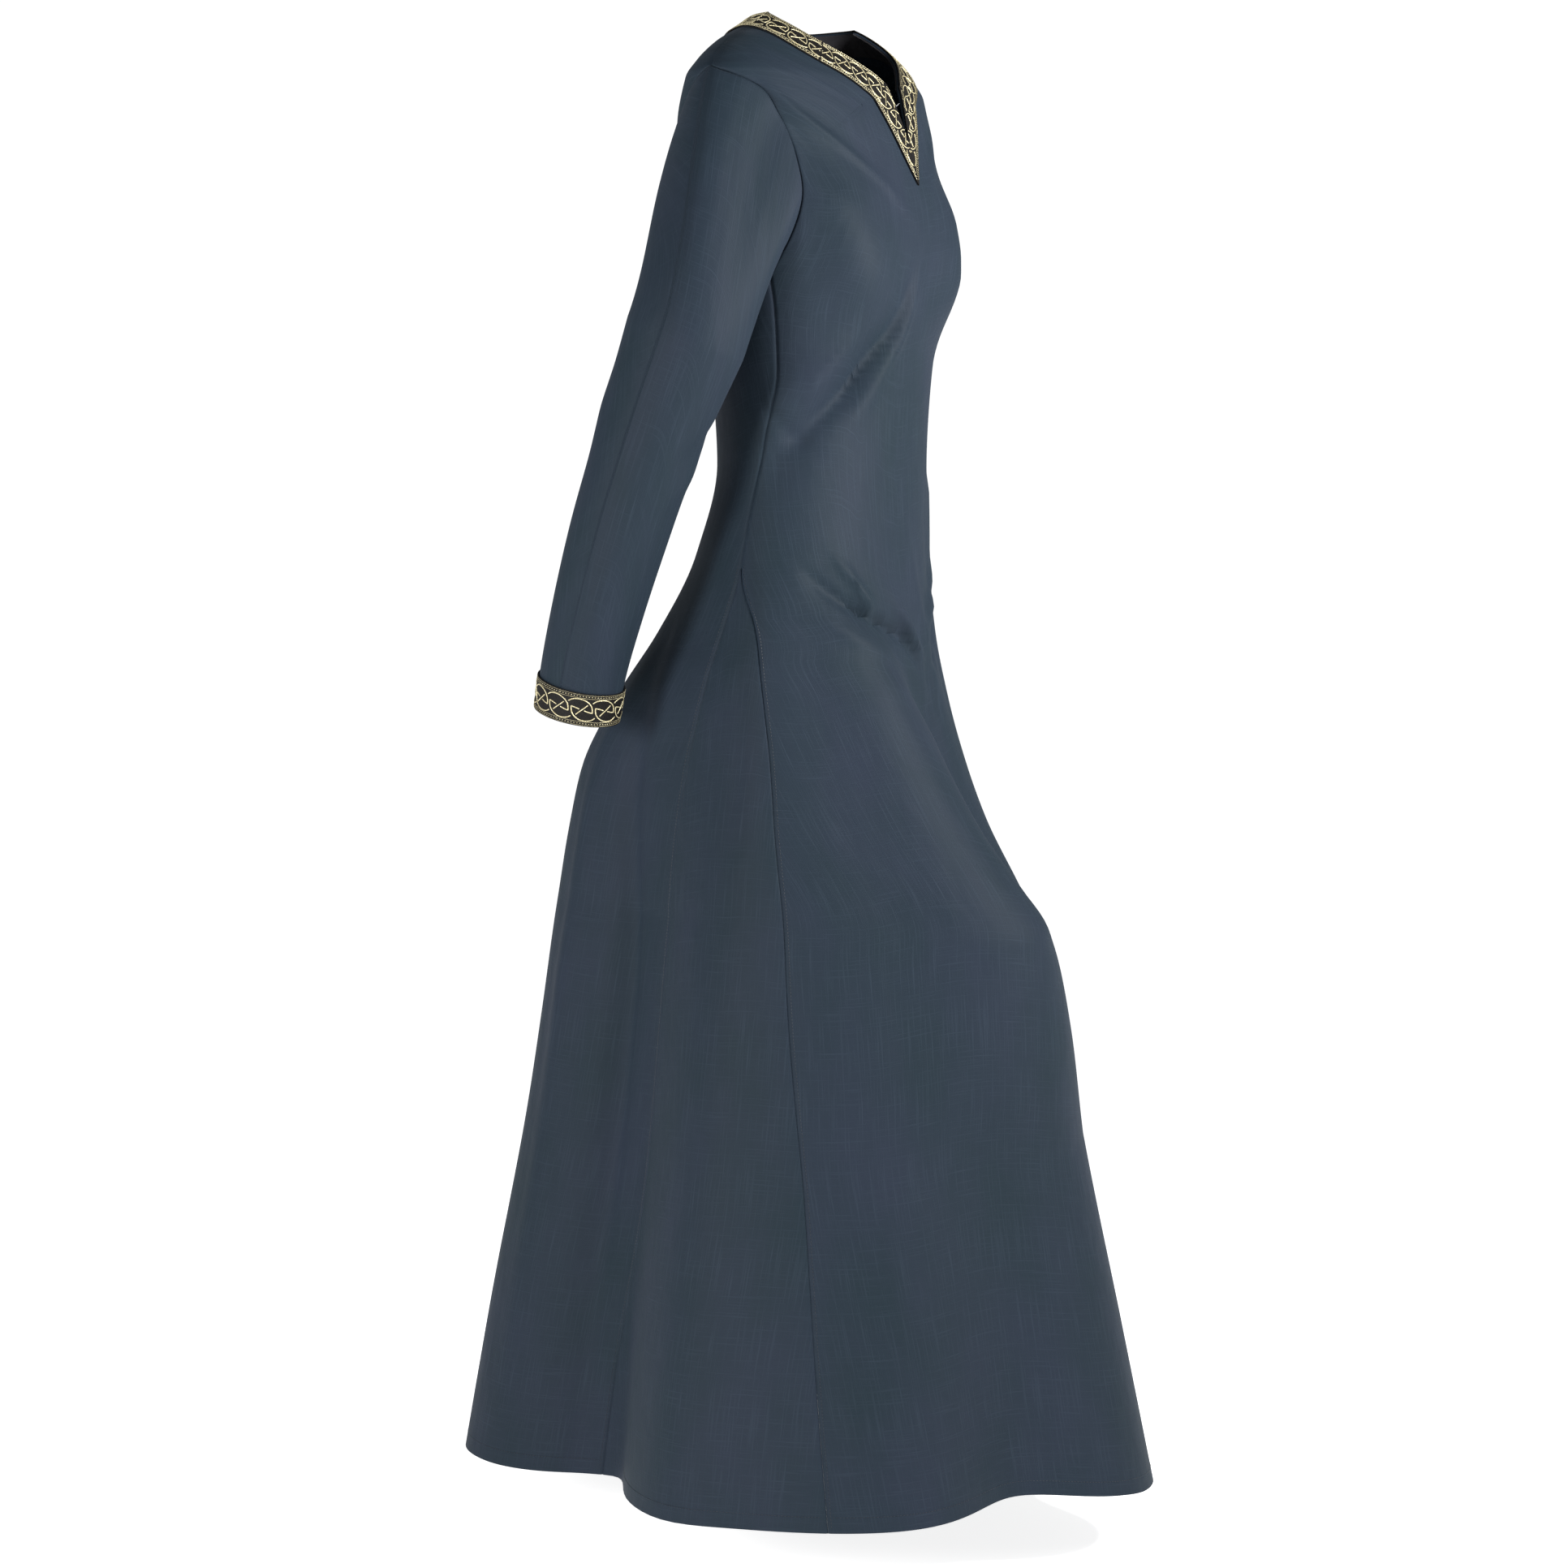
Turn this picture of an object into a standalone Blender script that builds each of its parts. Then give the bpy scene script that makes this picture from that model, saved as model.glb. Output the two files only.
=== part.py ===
"""A long worn gown with a slit round neck, flared side gores, long sleeves and woven trims.

Metres, +Z up. The wearer faces -Y and their right is -X. The origin is the middle of the neck at
the height where the shoulder seams meet it. The hem hangs at about z = -1.44.

Every panel lies on one body form, which is read at a turn and a height. A turn is an angle in
degrees around the body: 0 at the front, 90 at the wearer's left, 180 at the back and -90 at the
wearer's right. A height is the z of the point before the hem's own rise and fall.
"""
import math

import bmesh
import bpy
import numpy as np

# Driving sizes
CLOTH = 0.0018
LINING = 0.0012
SEAM_GAP = 0.0003
RIBBON_WIDTH = 0.034
RIBBON_THICK = 0.0012
RIBBON_LIFT = 0.0008
# The facing's gap inside the panels, from the neck edge, where it is sewn, to its free edge
FACING_GAPS = (0.0004, 0.0020, 0.0030)
HEM = -1.457
UNDERARM = -0.262
BACK_NECK = -0.006
NECK_CORNER = (4.4, -0.066)
SLIT_END = -0.122
RIBBON_POINT = -0.166
GORE_TOP = -0.545
GORE_TIP = 0.004

# The turn of the shoulder seams and the sides
SIDE_TURN = 90.0
NECK_SHIFT = 10.0
NECK_SHIFT_HEIGHTS = (-0.30, -0.17)

# How finely the cloth is divided
BAND_STEPS = 2
PANEL_STEPS = 8
GORE_STEPS = 5
SLIT_TRIM_STEPS = 6

# The body form, a row for each height: half width, then where its front, side and back lie in Y,
# and how far it is turned about the vertical, in degrees
FORM = (
    # height, half, front, side, back, twist
    (0.000, 0.077, -0.006, 0.012, 0.064, -9.0),
    (-0.012, 0.100, -0.024, 0.012, 0.070, -9.0),
    (-0.030, 0.138, -0.040, 0.013, 0.079, -9.0),
    (-0.050, 0.164, -0.055, 0.014, 0.089, -9.0),
    (-0.066, 0.175, -0.065, 0.015, 0.097, -9.0),
    (-0.100, 0.175, -0.077, 0.014, 0.108, -9.0),
    (-0.140, 0.171, -0.088, 0.010, 0.114, -9.0),
    (-0.190, 0.166, -0.102, 0.004, 0.116, -8.0),
    (-0.235, 0.160, -0.110, 0.000, 0.113, -7.0),
    (-0.280, 0.153, -0.110, 0.000, 0.107, -6.0),
    (-0.340, 0.144, -0.101, 0.000, 0.099, -5.0),
    (-0.440, 0.138, -0.096, 0.000, 0.092, -4.0),
    (-0.530, 0.152, -0.097, 0.000, 0.118, -2.0),
    (-0.610, 0.172, -0.102, 0.000, 0.165, 0.0),
    (-0.680, 0.186, -0.116, 0.000, 0.217, 0.0),
    (-0.750, 0.198, -0.138, 0.000, 0.256, 0.0),
    (-0.800, 0.208, -0.158, 0.000, 0.268, 0.0),
    (-0.900, 0.226, -0.210, 0.000, 0.284, 0.0),
    (-1.000, 0.240, -0.236, 0.000, 0.297, 0.0),
    (-1.100, 0.252, -0.254, 0.000, 0.312, 0.0),
    (-1.300, 0.276, -0.298, 0.000, 0.351, 0.0),
    (-1.480, 0.293, -0.338, 0.000, 0.384, 0.0),
)

# Swells and hollows. Each is a soft ridge along a line of two or more points, a row for each
# point: how far the ridge spreads to each side there, and how far it stands out
FOLDS = (
    # name, turn, height, width, rise
    ("bust_right", -34, -0.205, 0.046, 0.015),
    ("bust_right", -32, -0.250, 0.046, 0.018),
    ("bust_left", 34, -0.205, 0.046, 0.015),
    ("bust_left", 32, -0.250, 0.046, 0.018),
    ("shoulder_blade_right", -132, -0.110, 0.060, 0.006),
    ("shoulder_blade_right", -136, -0.200, 0.060, 0.010),
    ("shoulder_blade_left", 132, -0.110, 0.060, 0.006),
    ("shoulder_blade_left", 136, -0.200, 0.060, 0.010),
    ("bust_to_waist_hollow", -12, -0.270, 0.022, -0.003),
    ("bust_to_waist_hollow", -34, -0.360, 0.022, -0.008),
    ("bust_to_waist_hollow", -74, -0.440, 0.026, -0.004),
    ("bust_to_waist_ridge", -30, -0.300, 0.022, 0.002),
    ("bust_to_waist_ridge", -56, -0.365, 0.022, 0.006),
    ("bust_to_waist_ridge", -84, -0.400, 0.022, 0.002),
    ("leg_right", -44, -0.560, 0.050, 0.004),
    ("leg_right", -30, -0.680, 0.060, 0.030),
    ("leg_right", -14, -0.900, 0.085, 0.058),
    ("leg_right", -6, -1.120, 0.105, 0.026),
    ("leg_right", 2, -1.520, 0.110, 0.018),
    ("groin_hollow", -52, -0.560, 0.024, -0.003),
    ("groin_hollow", -20, -0.620, 0.024, -0.008),
    ("groin_hollow", 2, -0.700, 0.030, -0.014),
    ("groin_hollow", 6, -0.860, 0.040, -0.016),
    ("gore_hollow_right", -118, -0.640, 0.070, -0.016),
    ("gore_hollow_right", -122, -0.900, 0.085, -0.060),
    ("gore_hollow_right", -126, -1.520, 0.100, -0.118),
    ("gore_hollow_left", 118, -0.640, 0.070, -0.010),
    ("gore_hollow_left", 128, -1.520, 0.095, -0.060),
    ("front_hollow_right", -26, -1.060, 0.060, 0.000),
    ("front_hollow_right", -28, -1.520, 0.085, -0.055),
    ("front_hollow_left", 30, -0.900, 0.060, 0.000),
    ("front_hollow_left", 38, -1.520, 0.085, -0.040),
)

# How far the hem is lifted, at a turn and over a spread of turns
HEM_LIFTS = (
    # name, turn, spread, lift
    ("front_right", -26, 18, 0.012),
    ("back_right", -142, 26, -0.010),
)

# Where the seams run around the body, a row for each height. Above the gore's top the front and
# back panels share one side seam
SEAMS = (
    # height, front_of_gore, back_of_gore
    (-0.262, 74.0, 74.0),
    (-0.290, 73.5, 73.5),
    (-0.356, 74.0, 74.0),
    (-0.415, 82.0, 82.0),
    (-0.500, 93.0, 93.0),
    (-0.545, 96.0, 96.0),
    (-0.624, 84.0, 104.5),
    (-0.740, 76.0, 108.0),
    (-0.852, 74.0, 111.0),
    (-0.966, 73.0, 113.0),
    (-1.153, 69.5, 118.0),
    (-1.348, 68.0, 127.0),
    (-1.480, 67.0, 130.0),
)

# The armhole from the underarm up the front to the shoulder, and up the back
ARMHOLE_FRONT = (
    # turn, height
    (74.0, -0.262),
    (63.5, -0.228),
    (55.5, -0.188),
    (53.0, -0.142),
    (55.5, -0.106),
    (64.0, -0.078),
    (90.0, -0.060),
)
ARMHOLE_BACK = (
    # turn, height
    (74.0, -0.262),
    (102.0, -0.244),
    (117.0, -0.205),
    (122.0, -0.155),
    (119.0, -0.112),
    (108.0, -0.080),
    (90.0, -0.060),
)

# The neck edge, from the top of the slit to the shoulder seam, and on to the middle of the back
NECK_FRONT = (
    # turn, height
    (4.4, -0.066),
    (11.0, -0.053),
    (24.0, -0.037),
    (46.0, -0.018),
    (68.0, -0.006),
    (90.0, 0.000),
)
NECK_BACK = (
    # turn, height
    (180.0, -0.006),
    (158.0, -0.005),
    (136.0, -0.003),
    (113.0, -0.001),
    (90.0, 0.000),
)

# The right sleeve's middle line and its size, from above the elbow to the cuff. Side is its
# radius away from the body, and fore its radius towards the front
SLEEVE = (
    # x, y, z, side, fore
    (-0.211, 0.048, -0.325, 0.052, 0.061),
    (-0.214, 0.072, -0.386, 0.049, 0.055),
    (-0.216, 0.096, -0.450, 0.046, 0.051),
    (-0.214, 0.120, -0.514, 0.044, 0.049),
    (-0.207, 0.144, -0.578, 0.042, 0.046),
    (-0.198, 0.166, -0.641, 0.040, 0.043),
    (-0.190, 0.179, -0.689, 0.038, 0.042),
)
LEFT_ARM_OUT = 0.012
SLEEVE_CAP_RINGS = 7
SLEEVE_ARM_RINGS = 12
CAP_REACH = 0.13
CAP_BACK = 0.05
CAP_SWELL = 0.013
ARMPIT_PULL = 0.03
ARMPIT_SPREAD = 0.15
UNDERARM_LEAD = 50
CAP_DROP = 0.20

# Rows of the panels, by height below the underarm and by share of the armhole above it
LOW_ROWS = 24
ARM_ROWS = 14
SLIT_ROWS = 3
NECK_ROWS = 7
BACK_BAND_STEPS = 15


def smooth_read(places, values, at):
    """A smooth curve through values at rising places, with no overshoot, read at given places."""
    places = np.asarray(places, float)
    values = np.asarray(values, float)
    at = np.clip(np.asarray(at, float), places[0], places[-1])
    step = np.diff(places)
    slope = np.diff(values) / step
    tangent = np.zeros_like(values)
    tangent[0] = slope[0]
    tangent[-1] = slope[-1]
    same_way = slope[:-1] * slope[1:] > 0
    w1 = 2 * step[1:] + step[:-1]
    w2 = step[1:] + 2 * step[:-1]
    inner = np.zeros_like(slope[1:])
    inner[same_way] = ((w1 + w2)[same_way]
                       / (w1[same_way] / slope[:-1][same_way] + w2[same_way] / slope[1:][same_way]))
    tangent[1:-1] = inner
    k = np.clip(np.searchsorted(places, at, side="right") - 1, 0, len(step) - 1)
    s = (at - places[k]) / step[k]
    return ((1 + 2 * s) * (1 - s) ** 2 * values[k] + s * (1 - s) ** 2 * step[k] * tangent[k]
            + s * s * (3 - 2 * s) * values[k + 1] + s * s * (s - 1) * step[k] * tangent[k + 1])


def column(table, index):
    """One column of a table whose rows fall in height, turned so that the heights rise."""
    return [row[index] for row in reversed(table)]


def fold_rise(turn, height, half):
    """How far the cloth stands out at a turn and a height, from all the folds together."""
    rise = np.zeros_like(turn)
    for name in dict.fromkeys(row[0] for row in FOLDS):
        points = [row[1:] for row in FOLDS if row[0] == name]
        strongest = np.zeros_like(turn)
        for (turn_a, height_a, width_a, rise_a), (turn_b, height_b, width_b, rise_b) in zip(
                points[:-1], points[1:]):
            across = np.radians((turn - turn_a + 180) % 360 - 180) * half
            run = math.radians(turn_b - turn_a) * half
            fall = height_b - height_a
            along = (across * run + (height - height_a) * fall) / (run ** 2 + fall ** 2)
            along = np.clip(along, 0, 1)
            off = (across - along * run) ** 2 + (height - height_a - along * fall) ** 2
            width = width_a + (width_b - width_a) * along
            here = (rise_a + (rise_b - rise_a) * along) * np.exp(-off / width ** 2)
            strongest = np.where(np.abs(here) > np.abs(strongest), here, strongest)
        rise = rise + strongest
    return rise


def hem_lift(turn, height):
    """How far the cloth is lifted near the hem."""
    share = np.clip((-0.8 - height) / 0.64, 0, 1.2) ** 2
    lift = np.zeros_like(turn)
    for _, middle, spread, amount in HEM_LIFTS:
        lift = lift + amount * np.exp(-(((turn - middle + 180) % 360 - 180) / spread) ** 2)
    return share * lift


def neck_shift(turn, height):
    """How far the cloth is worn round to the wearer's left in front of the neck, in degrees."""
    share = np.clip((height - NECK_SHIFT_HEIGHTS[0]) / (NECK_SHIFT_HEIGHTS[1] - NECK_SHIFT_HEIGHTS[0]), 0, 1)
    return NECK_SHIFT * share * share * (3 - 2 * share) * np.clip(np.cos(np.radians(turn)), 0, 1) ** 2


def plain_point(turn, height):
    """Points of the body form before the cloth is worn round, where the pieces are laid out."""
    turn, height = np.broadcast_arrays(np.asarray(turn, float), np.asarray(height, float))
    heights = column(FORM, 0)
    half, front, side, back, twist = (
        smooth_read(heights, column(FORM, i), height) for i in range(1, 6))
    angle = np.radians(turn)
    depth = np.where(np.cos(angle) > 0, side - front, back - side)
    x = half * np.sin(angle)
    y = side - depth * np.cos(angle)
    out_x = np.sin(angle) / half
    out_y = -np.cos(angle) / depth
    size = np.hypot(out_x, out_y)
    rise = fold_rise(turn, height, half)
    x = x + rise * out_x / size
    y = y + rise * out_y / size
    spin = np.radians(twist)
    z = height + hem_lift(turn, height)
    return np.stack([x * np.cos(spin) - y * np.sin(spin), x * np.sin(spin) + y * np.cos(spin), z], -1)


def form_point(turn, height):
    """Points of the body form at the given turns and heights."""
    return plain_point(turn + neck_shift(turn, height), height)


def form_normal(turn, height, point_at=form_point):
    """The direction out of the cloth at the given turns and heights."""
    turn, height = np.broadcast_arrays(np.asarray(turn, float), np.asarray(height, float))
    top = np.minimum(height + 0.002, 0.0)
    around = point_at(turn + 0.5, height) - point_at(turn - 0.5, height)
    upward = point_at(turn, top) - point_at(turn, top - 0.004)
    normal = np.cross(around, upward)
    return normal / np.linalg.norm(normal, axis=-1, keepdims=True)


def on_form(turn, height, out=0.0):
    """Points at a distance out of the cloth's outer side."""
    return form_point(turn, height) + out * form_normal(turn, height)


def path_read(path, share):
    """The turn and height at a share of the way along a path on the form, measured in metres."""
    turns = np.array([p[0] for p in path], float)
    heights = np.array([p[1] for p in path], float)
    fine = np.linspace(0, len(path) - 1, 25 * (len(path) - 1) + 1)
    index = np.arange(len(path))
    fine_turn = natural_read(index, turns, fine)
    fine_height = natural_read(index, heights, fine)
    points = plain_point(fine_turn, fine_height)
    length = np.concatenate([[0], np.cumsum(np.linalg.norm(np.diff(points, axis=0), axis=1))])
    length /= length[-1]
    return np.interp(share, length, fine_turn), np.interp(share, length, fine_height)


def natural_read(places, values, at):
    """A round curve through values, for outlines, by Catmull-Rom pieces."""
    padded = np.concatenate([[2 * values[0] - values[1]], values, [2 * values[-1] - values[-2]]])
    k = np.clip(np.floor(at).astype(int), 0, len(values) - 2)
    s = at - places[k]
    a, b, c, d = padded[k], padded[k + 1], padded[k + 2], padded[k + 3]
    return 0.5 * (2 * b + (c - a) * s + (2 * a - 5 * b + 4 * c - d) * s * s
                  + (3 * b - a - 3 * c + d) * s ** 3)


def step_across(turn, height, tangent, distance, steps=8):
    """Walk over the form at right angles to a tangent, by a distance, and give where it ends."""
    for _ in range(steps):
        normal = form_normal(turn, height, plain_point)
        ahead = np.cross(tangent, normal)
        ahead /= np.linalg.norm(ahead)
        around = (plain_point(turn + 0.5, height) - plain_point(turn - 0.5, height))
        top = min(height + 0.002, 0.0)
        upward = (plain_point(turn, top) - plain_point(turn, top - 0.004)) / 0.004
        basis = np.stack([around, upward], -1)
        move = np.linalg.lstsq(basis, ahead * distance / steps, rcond=None)[0]
        turn = turn + move[0]
        height = height + move[1]
    return turn, height


def make_material(name, colour, roughness):
    """A plain cloth material."""
    material = bpy.data.materials.new(name)
    material.use_nodes = True
    shader = material.node_tree.nodes["Principled BSDF"]
    shader.inputs["Base Color"].default_value = (*colour, 1.0)
    shader.inputs["Roughness"].default_value = roughness
    shader.inputs["Metallic"].default_value = 0.0
    material.diffuse_color = (*colour, 1.0)
    return material


def grid_triangles(index, turned=False):
    """Two triangles for each cell of a grid of point numbers, or cut across the other way."""
    a, b = index[:-1, :-1].ravel(), index[:-1, 1:].ravel()
    c, d = index[1:, 1:].ravel(), index[1:, :-1].ravel()
    if turned:
        return np.concatenate([np.stack([a, b, d], -1), np.stack([b, c, d], -1)])
    return np.concatenate([np.stack([a, b, c], -1), np.stack([a, c, d], -1)])


def solid_from_sheet(name, outer, inner, triangles, material):
    """A closed wall between an outer and an inner sheet that share the same triangles."""
    count = len(outer)
    edges = {}
    for a, b, c in triangles:
        for edge in ((a, b), (b, c), (c, a)):
            edges[edge] = True
    faces = [tuple(t) for t in triangles]
    faces += [(c + count, b + count, a + count) for a, b, c in triangles]
    for a, b in edges:
        if (b, a) not in edges:
            faces += [(b, a, a + count), (b, a + count, b + count)]
    mesh = bpy.data.meshes.new(name)
    mesh.from_pydata(np.concatenate([outer, inner]).tolist(), [], [tuple(int(i) for i in f) for f in faces])
    shaped = bmesh.new()
    shaped.from_mesh(mesh)
    loose = [v for v in shaped.verts if not v.link_faces]
    bmesh.ops.delete(shaped, geom=loose, context="VERTS")
    if shaped.calc_volume(signed=True) < 0:
        bmesh.ops.reverse_faces(shaped, faces=shaped.faces)
    shaped.to_mesh(mesh)
    shaped.free()
    mesh.materials.append(material)
    thing = bpy.data.objects.new(name, mesh)
    bpy.context.scene.collection.objects.link(thing)
    mesh.shade_smooth()
    mesh.set_sharp_from_angle(angle=math.radians(40))
    return thing


def draw_back(points, towards, distance):
    """Edge points moved towards their neighbours, to open half of a seam's gap."""
    step = towards - points
    return points + distance * step / np.linalg.norm(step, axis=-1, keepdims=True)


def low_heights():
    """The heights of the panels' rows from the hem to the underarm, with one at the gore's top."""
    below = round(LOW_ROWS * (GORE_TOP - HEM) / (UNDERARM - HEM))
    return np.concatenate([np.linspace(HEM, GORE_TOP, below + 1)[:-1],
                           np.linspace(GORE_TOP, UNDERARM, LOW_ROWS - below + 1)])


def seam_turn(height, which):
    """The turn of a seam at a height: which is 1 in front of the gore and 2 behind it."""
    return smooth_read(column(SEAMS, 0), column(SEAMS, which), height)


def front_half():
    """Turns and heights of half the front panel, from the middle or the neck out to the side."""
    low = low_heights()
    plain_rows = ARM_ROWS - SLIT_ROWS - NECK_ROWS
    middle = [(0.0, h) for h in low]
    middle += [(0.0, h) for h in np.linspace(UNDERARM, SLIT_END, plain_rows + 1)[1:]]
    for share in np.linspace(0, 1, SLIT_ROWS + 1)[1:]:
        middle.append((NECK_CORNER[0] * share, SLIT_END + (NECK_CORNER[1] - SLIT_END) * share))
    turns, heights = path_read(NECK_FRONT, np.linspace(0, 1, NECK_ROWS + 1)[1:])
    middle += list(zip(turns, heights))
    middle = np.array(middle)
    side = [(t, h) for t, h in zip(seam_turn(low, 1), low)]
    turns, heights = path_read(ARMHOLE_FRONT, np.linspace(0, 1, ARM_ROWS + 1)[1:])
    side = np.array(side + list(zip(turns, heights)))
    corner = len(middle) - 1 - NECK_ROWS
    band = np.empty_like(middle)
    for i in range(len(middle)):
        if i < corner:
            before = plain_point(*middle[max(i - 1, 0)])
            after = plain_point(*middle[min(i + 1, corner)])
        elif i == corner:
            low_side = plain_point(*middle[i]) - plain_point(*middle[i - 1])
            high_side = plain_point(*middle[i + 1]) - plain_point(*middle[i])
            before = np.zeros(3)
            after = low_side / np.linalg.norm(low_side) + high_side / np.linalg.norm(high_side)
        else:
            before = plain_point(*middle[max(i - 1, corner)])
            after = plain_point(*middle[min(i + 1, len(middle) - 1)])
        tangent = (after - before) / np.linalg.norm(after - before)
        reach = RIBBON_WIDTH
        if i == corner:
            half_turn = 0.5 * math.acos(np.clip(np.dot(low_side, high_side) / np.linalg.norm(low_side)
                                                / np.linalg.norm(high_side), -1, 1))
            reach = RIBBON_WIDTH / math.cos(half_turn)
        band[i] = step_across(*middle[i], tangent, reach)
    band[-1, 0] = SIDE_TURN
    return spread_rows(middle, band, side), corner


def back_half(shoulder):
    """Turns and heights of half the back panel, from the middle or the neck out to the side. Its
    last row is the shoulder seam, which it shares with the front panel."""
    low = low_heights()
    plain_rows = ARM_ROWS - NECK_ROWS
    middle = [(180.0, h) for h in low]
    middle += [(180.0, h) for h in np.linspace(UNDERARM, BACK_NECK, plain_rows + 1)[1:]]
    turns, heights = path_read(NECK_BACK, np.linspace(0, 1, NECK_ROWS + 1)[1:])
    middle = np.array(middle + list(zip(turns, heights)))
    side = [(t, h) for t, h in zip(seam_turn(low, 2), low)]
    turns, heights = path_read(ARMHOLE_BACK, np.linspace(0, 1, ARM_ROWS + 1)[1:])
    side = np.array(side + list(zip(turns, heights)))
    share = np.linspace(0, 1, BAND_STEPS + PANEL_STEPS + 1)[None, :, None]
    half = middle[:, None] * (1 - share) + side[:, None] * share
    half[-1] = shoulder
    return half, len(middle) - 1 - NECK_ROWS


def spread_rows(middle, band, side):
    """Rows of a half panel: a band of even width along its inner edge, then on to its side."""
    near = np.linspace(0, 1, BAND_STEPS + 1)[None, :, None]
    far = np.linspace(0, 1, PANEL_STEPS + 1)[None, 1:, None]
    first = middle[:, None] * (1 - near) + band[:, None] * near
    rest = band[:, None] * (1 - far) + side[:, None] * far
    return np.concatenate([first, rest], axis=1)


def panel(name, half, split_row, material):
    """A front or back panel from one half's turns and heights, mirrored in its turns."""
    rows, columns = half.shape[:2]
    sheets = []
    for sign in (-1, 1):
        turn = sign * half[..., 0]
        outer = on_form(turn, half[..., 1])
        normal = form_normal(turn, half[..., 1])
        gap = SEAM_GAP / 2
        outer[:, -1] = draw_back(outer[:, -1], outer[:, -2], gap)
        outer[-1, :] = draw_back(outer[-1, :], outer[-2, :], gap)
        sheets.append((outer, outer - CLOTH * normal))
    numbers = np.arange(rows * columns).reshape(rows, columns)
    other = numbers + rows * columns
    other[:split_row + 1, 0] = numbers[:split_row + 1, 0]
    triangles = np.concatenate([grid_triangles(numbers)[:, ::-1], grid_triangles(other)])
    outer = np.concatenate([s[0].reshape(-1, 3) for s in sheets])
    inner = np.concatenate([s[1].reshape(-1, 3) for s in sheets])
    return solid_from_sheet(name, outer, inner, triangles, material)


def gore(name, sign, material):
    """A side gore between the front and back panels, from the hem up to its point."""
    low = low_heights()
    heights = low[low < GORE_TOP - GORE_TIP]
    share = np.linspace(0, 1, GORE_STEPS + 1)
    start = seam_turn(heights, 1)
    end = seam_turn(heights, 2)
    turn = sign * (start[:, None] * (1 - share) + end[:, None] * share)
    height = np.repeat(heights[:, None], GORE_STEPS + 1, axis=1)
    tip_height = GORE_TOP - GORE_TIP
    tip_turn = sign * (seam_turn(tip_height, 1) * (1 - share) + seam_turn(tip_height, 2) * share)
    turn = np.concatenate([turn, tip_turn[None]])
    height = np.concatenate([height, np.full((1, GORE_STEPS + 1), tip_height)])
    outer = on_form(turn, height)
    normal = form_normal(turn, height)
    gap = SEAM_GAP / 2
    outer[:, 0], outer[:, -1] = (draw_back(outer[:, 0], outer[:, 1], gap),
                                 draw_back(outer[:, -1], outer[:, -2], gap))
    numbers = np.arange(turn.size).reshape(turn.shape)
    return solid_from_sheet(name, outer.reshape(-1, 3), (outer - CLOTH * normal).reshape(-1, 3),
                            grid_triangles(numbers), material)


def neck_strip(front, corner, back_steps):
    """The band along the neck edge as turns and heights, from the right of the slit, round the
    back, to the left of the slit. Its front part has the front panel's own rows."""
    turns, heights = path_read(NECK_BACK, np.linspace(0, 1, back_steps + 1))
    behind = np.stack([turns, heights], -1)
    tangent = np.gradient(plain_point(turns, heights), axis=0)
    far = np.array([step_across(*behind[i], -tangent[i] / np.linalg.norm(tangent[i]), RIBBON_WIDTH)
                    for i in range(len(behind))])
    far[0] = (180.0, BACK_NECK - RIBBON_WIDTH)
    far[-1] = front[-1, BAND_STEPS]
    share = np.linspace(0, 1, BAND_STEPS + 1)[None, :, None]
    behind = (behind[:, None] * (1 - share) + far[:, None] * share)[::-1]
    half = np.concatenate([front[corner:, :BAND_STEPS + 1], behind[1:]])
    right = half * (-1, 1)
    return np.concatenate([right, half[::-1][1:]])


def neck_band(name, strip, low_out, thick, material):
    """A band that follows the neck edge: the ribbon outside the panels, or the facing inside. Its
    lower side lies low_out from the form, which may differ from the neck edge outwards."""
    low_out = np.broadcast_to(low_out, strip.shape[1])[None, :, None]
    turn, height = strip[..., 0], strip[..., 1]
    points = form_point(turn, height)
    normal = form_normal(turn, height)
    points[0] = draw_back(points[0], points[1], SEAM_GAP)
    points[-1] = draw_back(points[-1], points[-2], SEAM_GAP)
    numbers = np.arange(turn.size).reshape(turn.shape)
    middle = len(strip) // 2
    triangles = np.concatenate([grid_triangles(numbers[:middle + 1]),
                                grid_triangles(numbers[middle:], turned=True)])
    return solid_from_sheet(name, (points + (low_out + thick) * normal).reshape(-1, 3),
                            (points + low_out * normal).reshape(-1, 3), triangles, material)


def slit_ribbon(name, front, corner, sign, material):
    """The ribbon beside the slit, from its mitre at the neck's corner down to its point."""
    top_inner = front[corner, 0]
    top_outer = front[corner, BAND_STEPS]
    inner_path = np.array([top_inner, (0.0, SLIT_END), (0.0, RIBBON_POINT + 0.004)])
    outer_end = np.array((0.0, RIBBON_POINT))
    share = np.linspace(0, 1, SLIT_TRIM_STEPS + 1)
    bend = 0.55
    inner = np.array([[np.interp(s, (0, bend, 1), inner_path[:, 0]),
                       np.interp(s, (0, bend, 1), inner_path[:, 1])] for s in share])
    outer = top_outer[None] * (1 - share[:, None]) + outer_end[None] * share[:, None]
    across = np.linspace(0, 1, BAND_STEPS + 1)
    grid = inner[:, None] * (1 - across[None, :, None]) + outer[:, None] * across[None, :, None]
    turn, height = sign * grid[..., 0], grid[..., 1]
    points = form_point(turn, height)
    normal = form_normal(turn, height)
    points[..., 0] += sign * SEAM_GAP / 2
    numbers = np.arange(turn.size).reshape(turn.shape)
    return solid_from_sheet(name, (points + (RIBBON_LIFT + RIBBON_THICK) * normal).reshape(-1, 3),
                            (points + RIBBON_LIFT * normal).reshape(-1, 3),
                            grid_triangles(numbers, turned=True), material)


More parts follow.
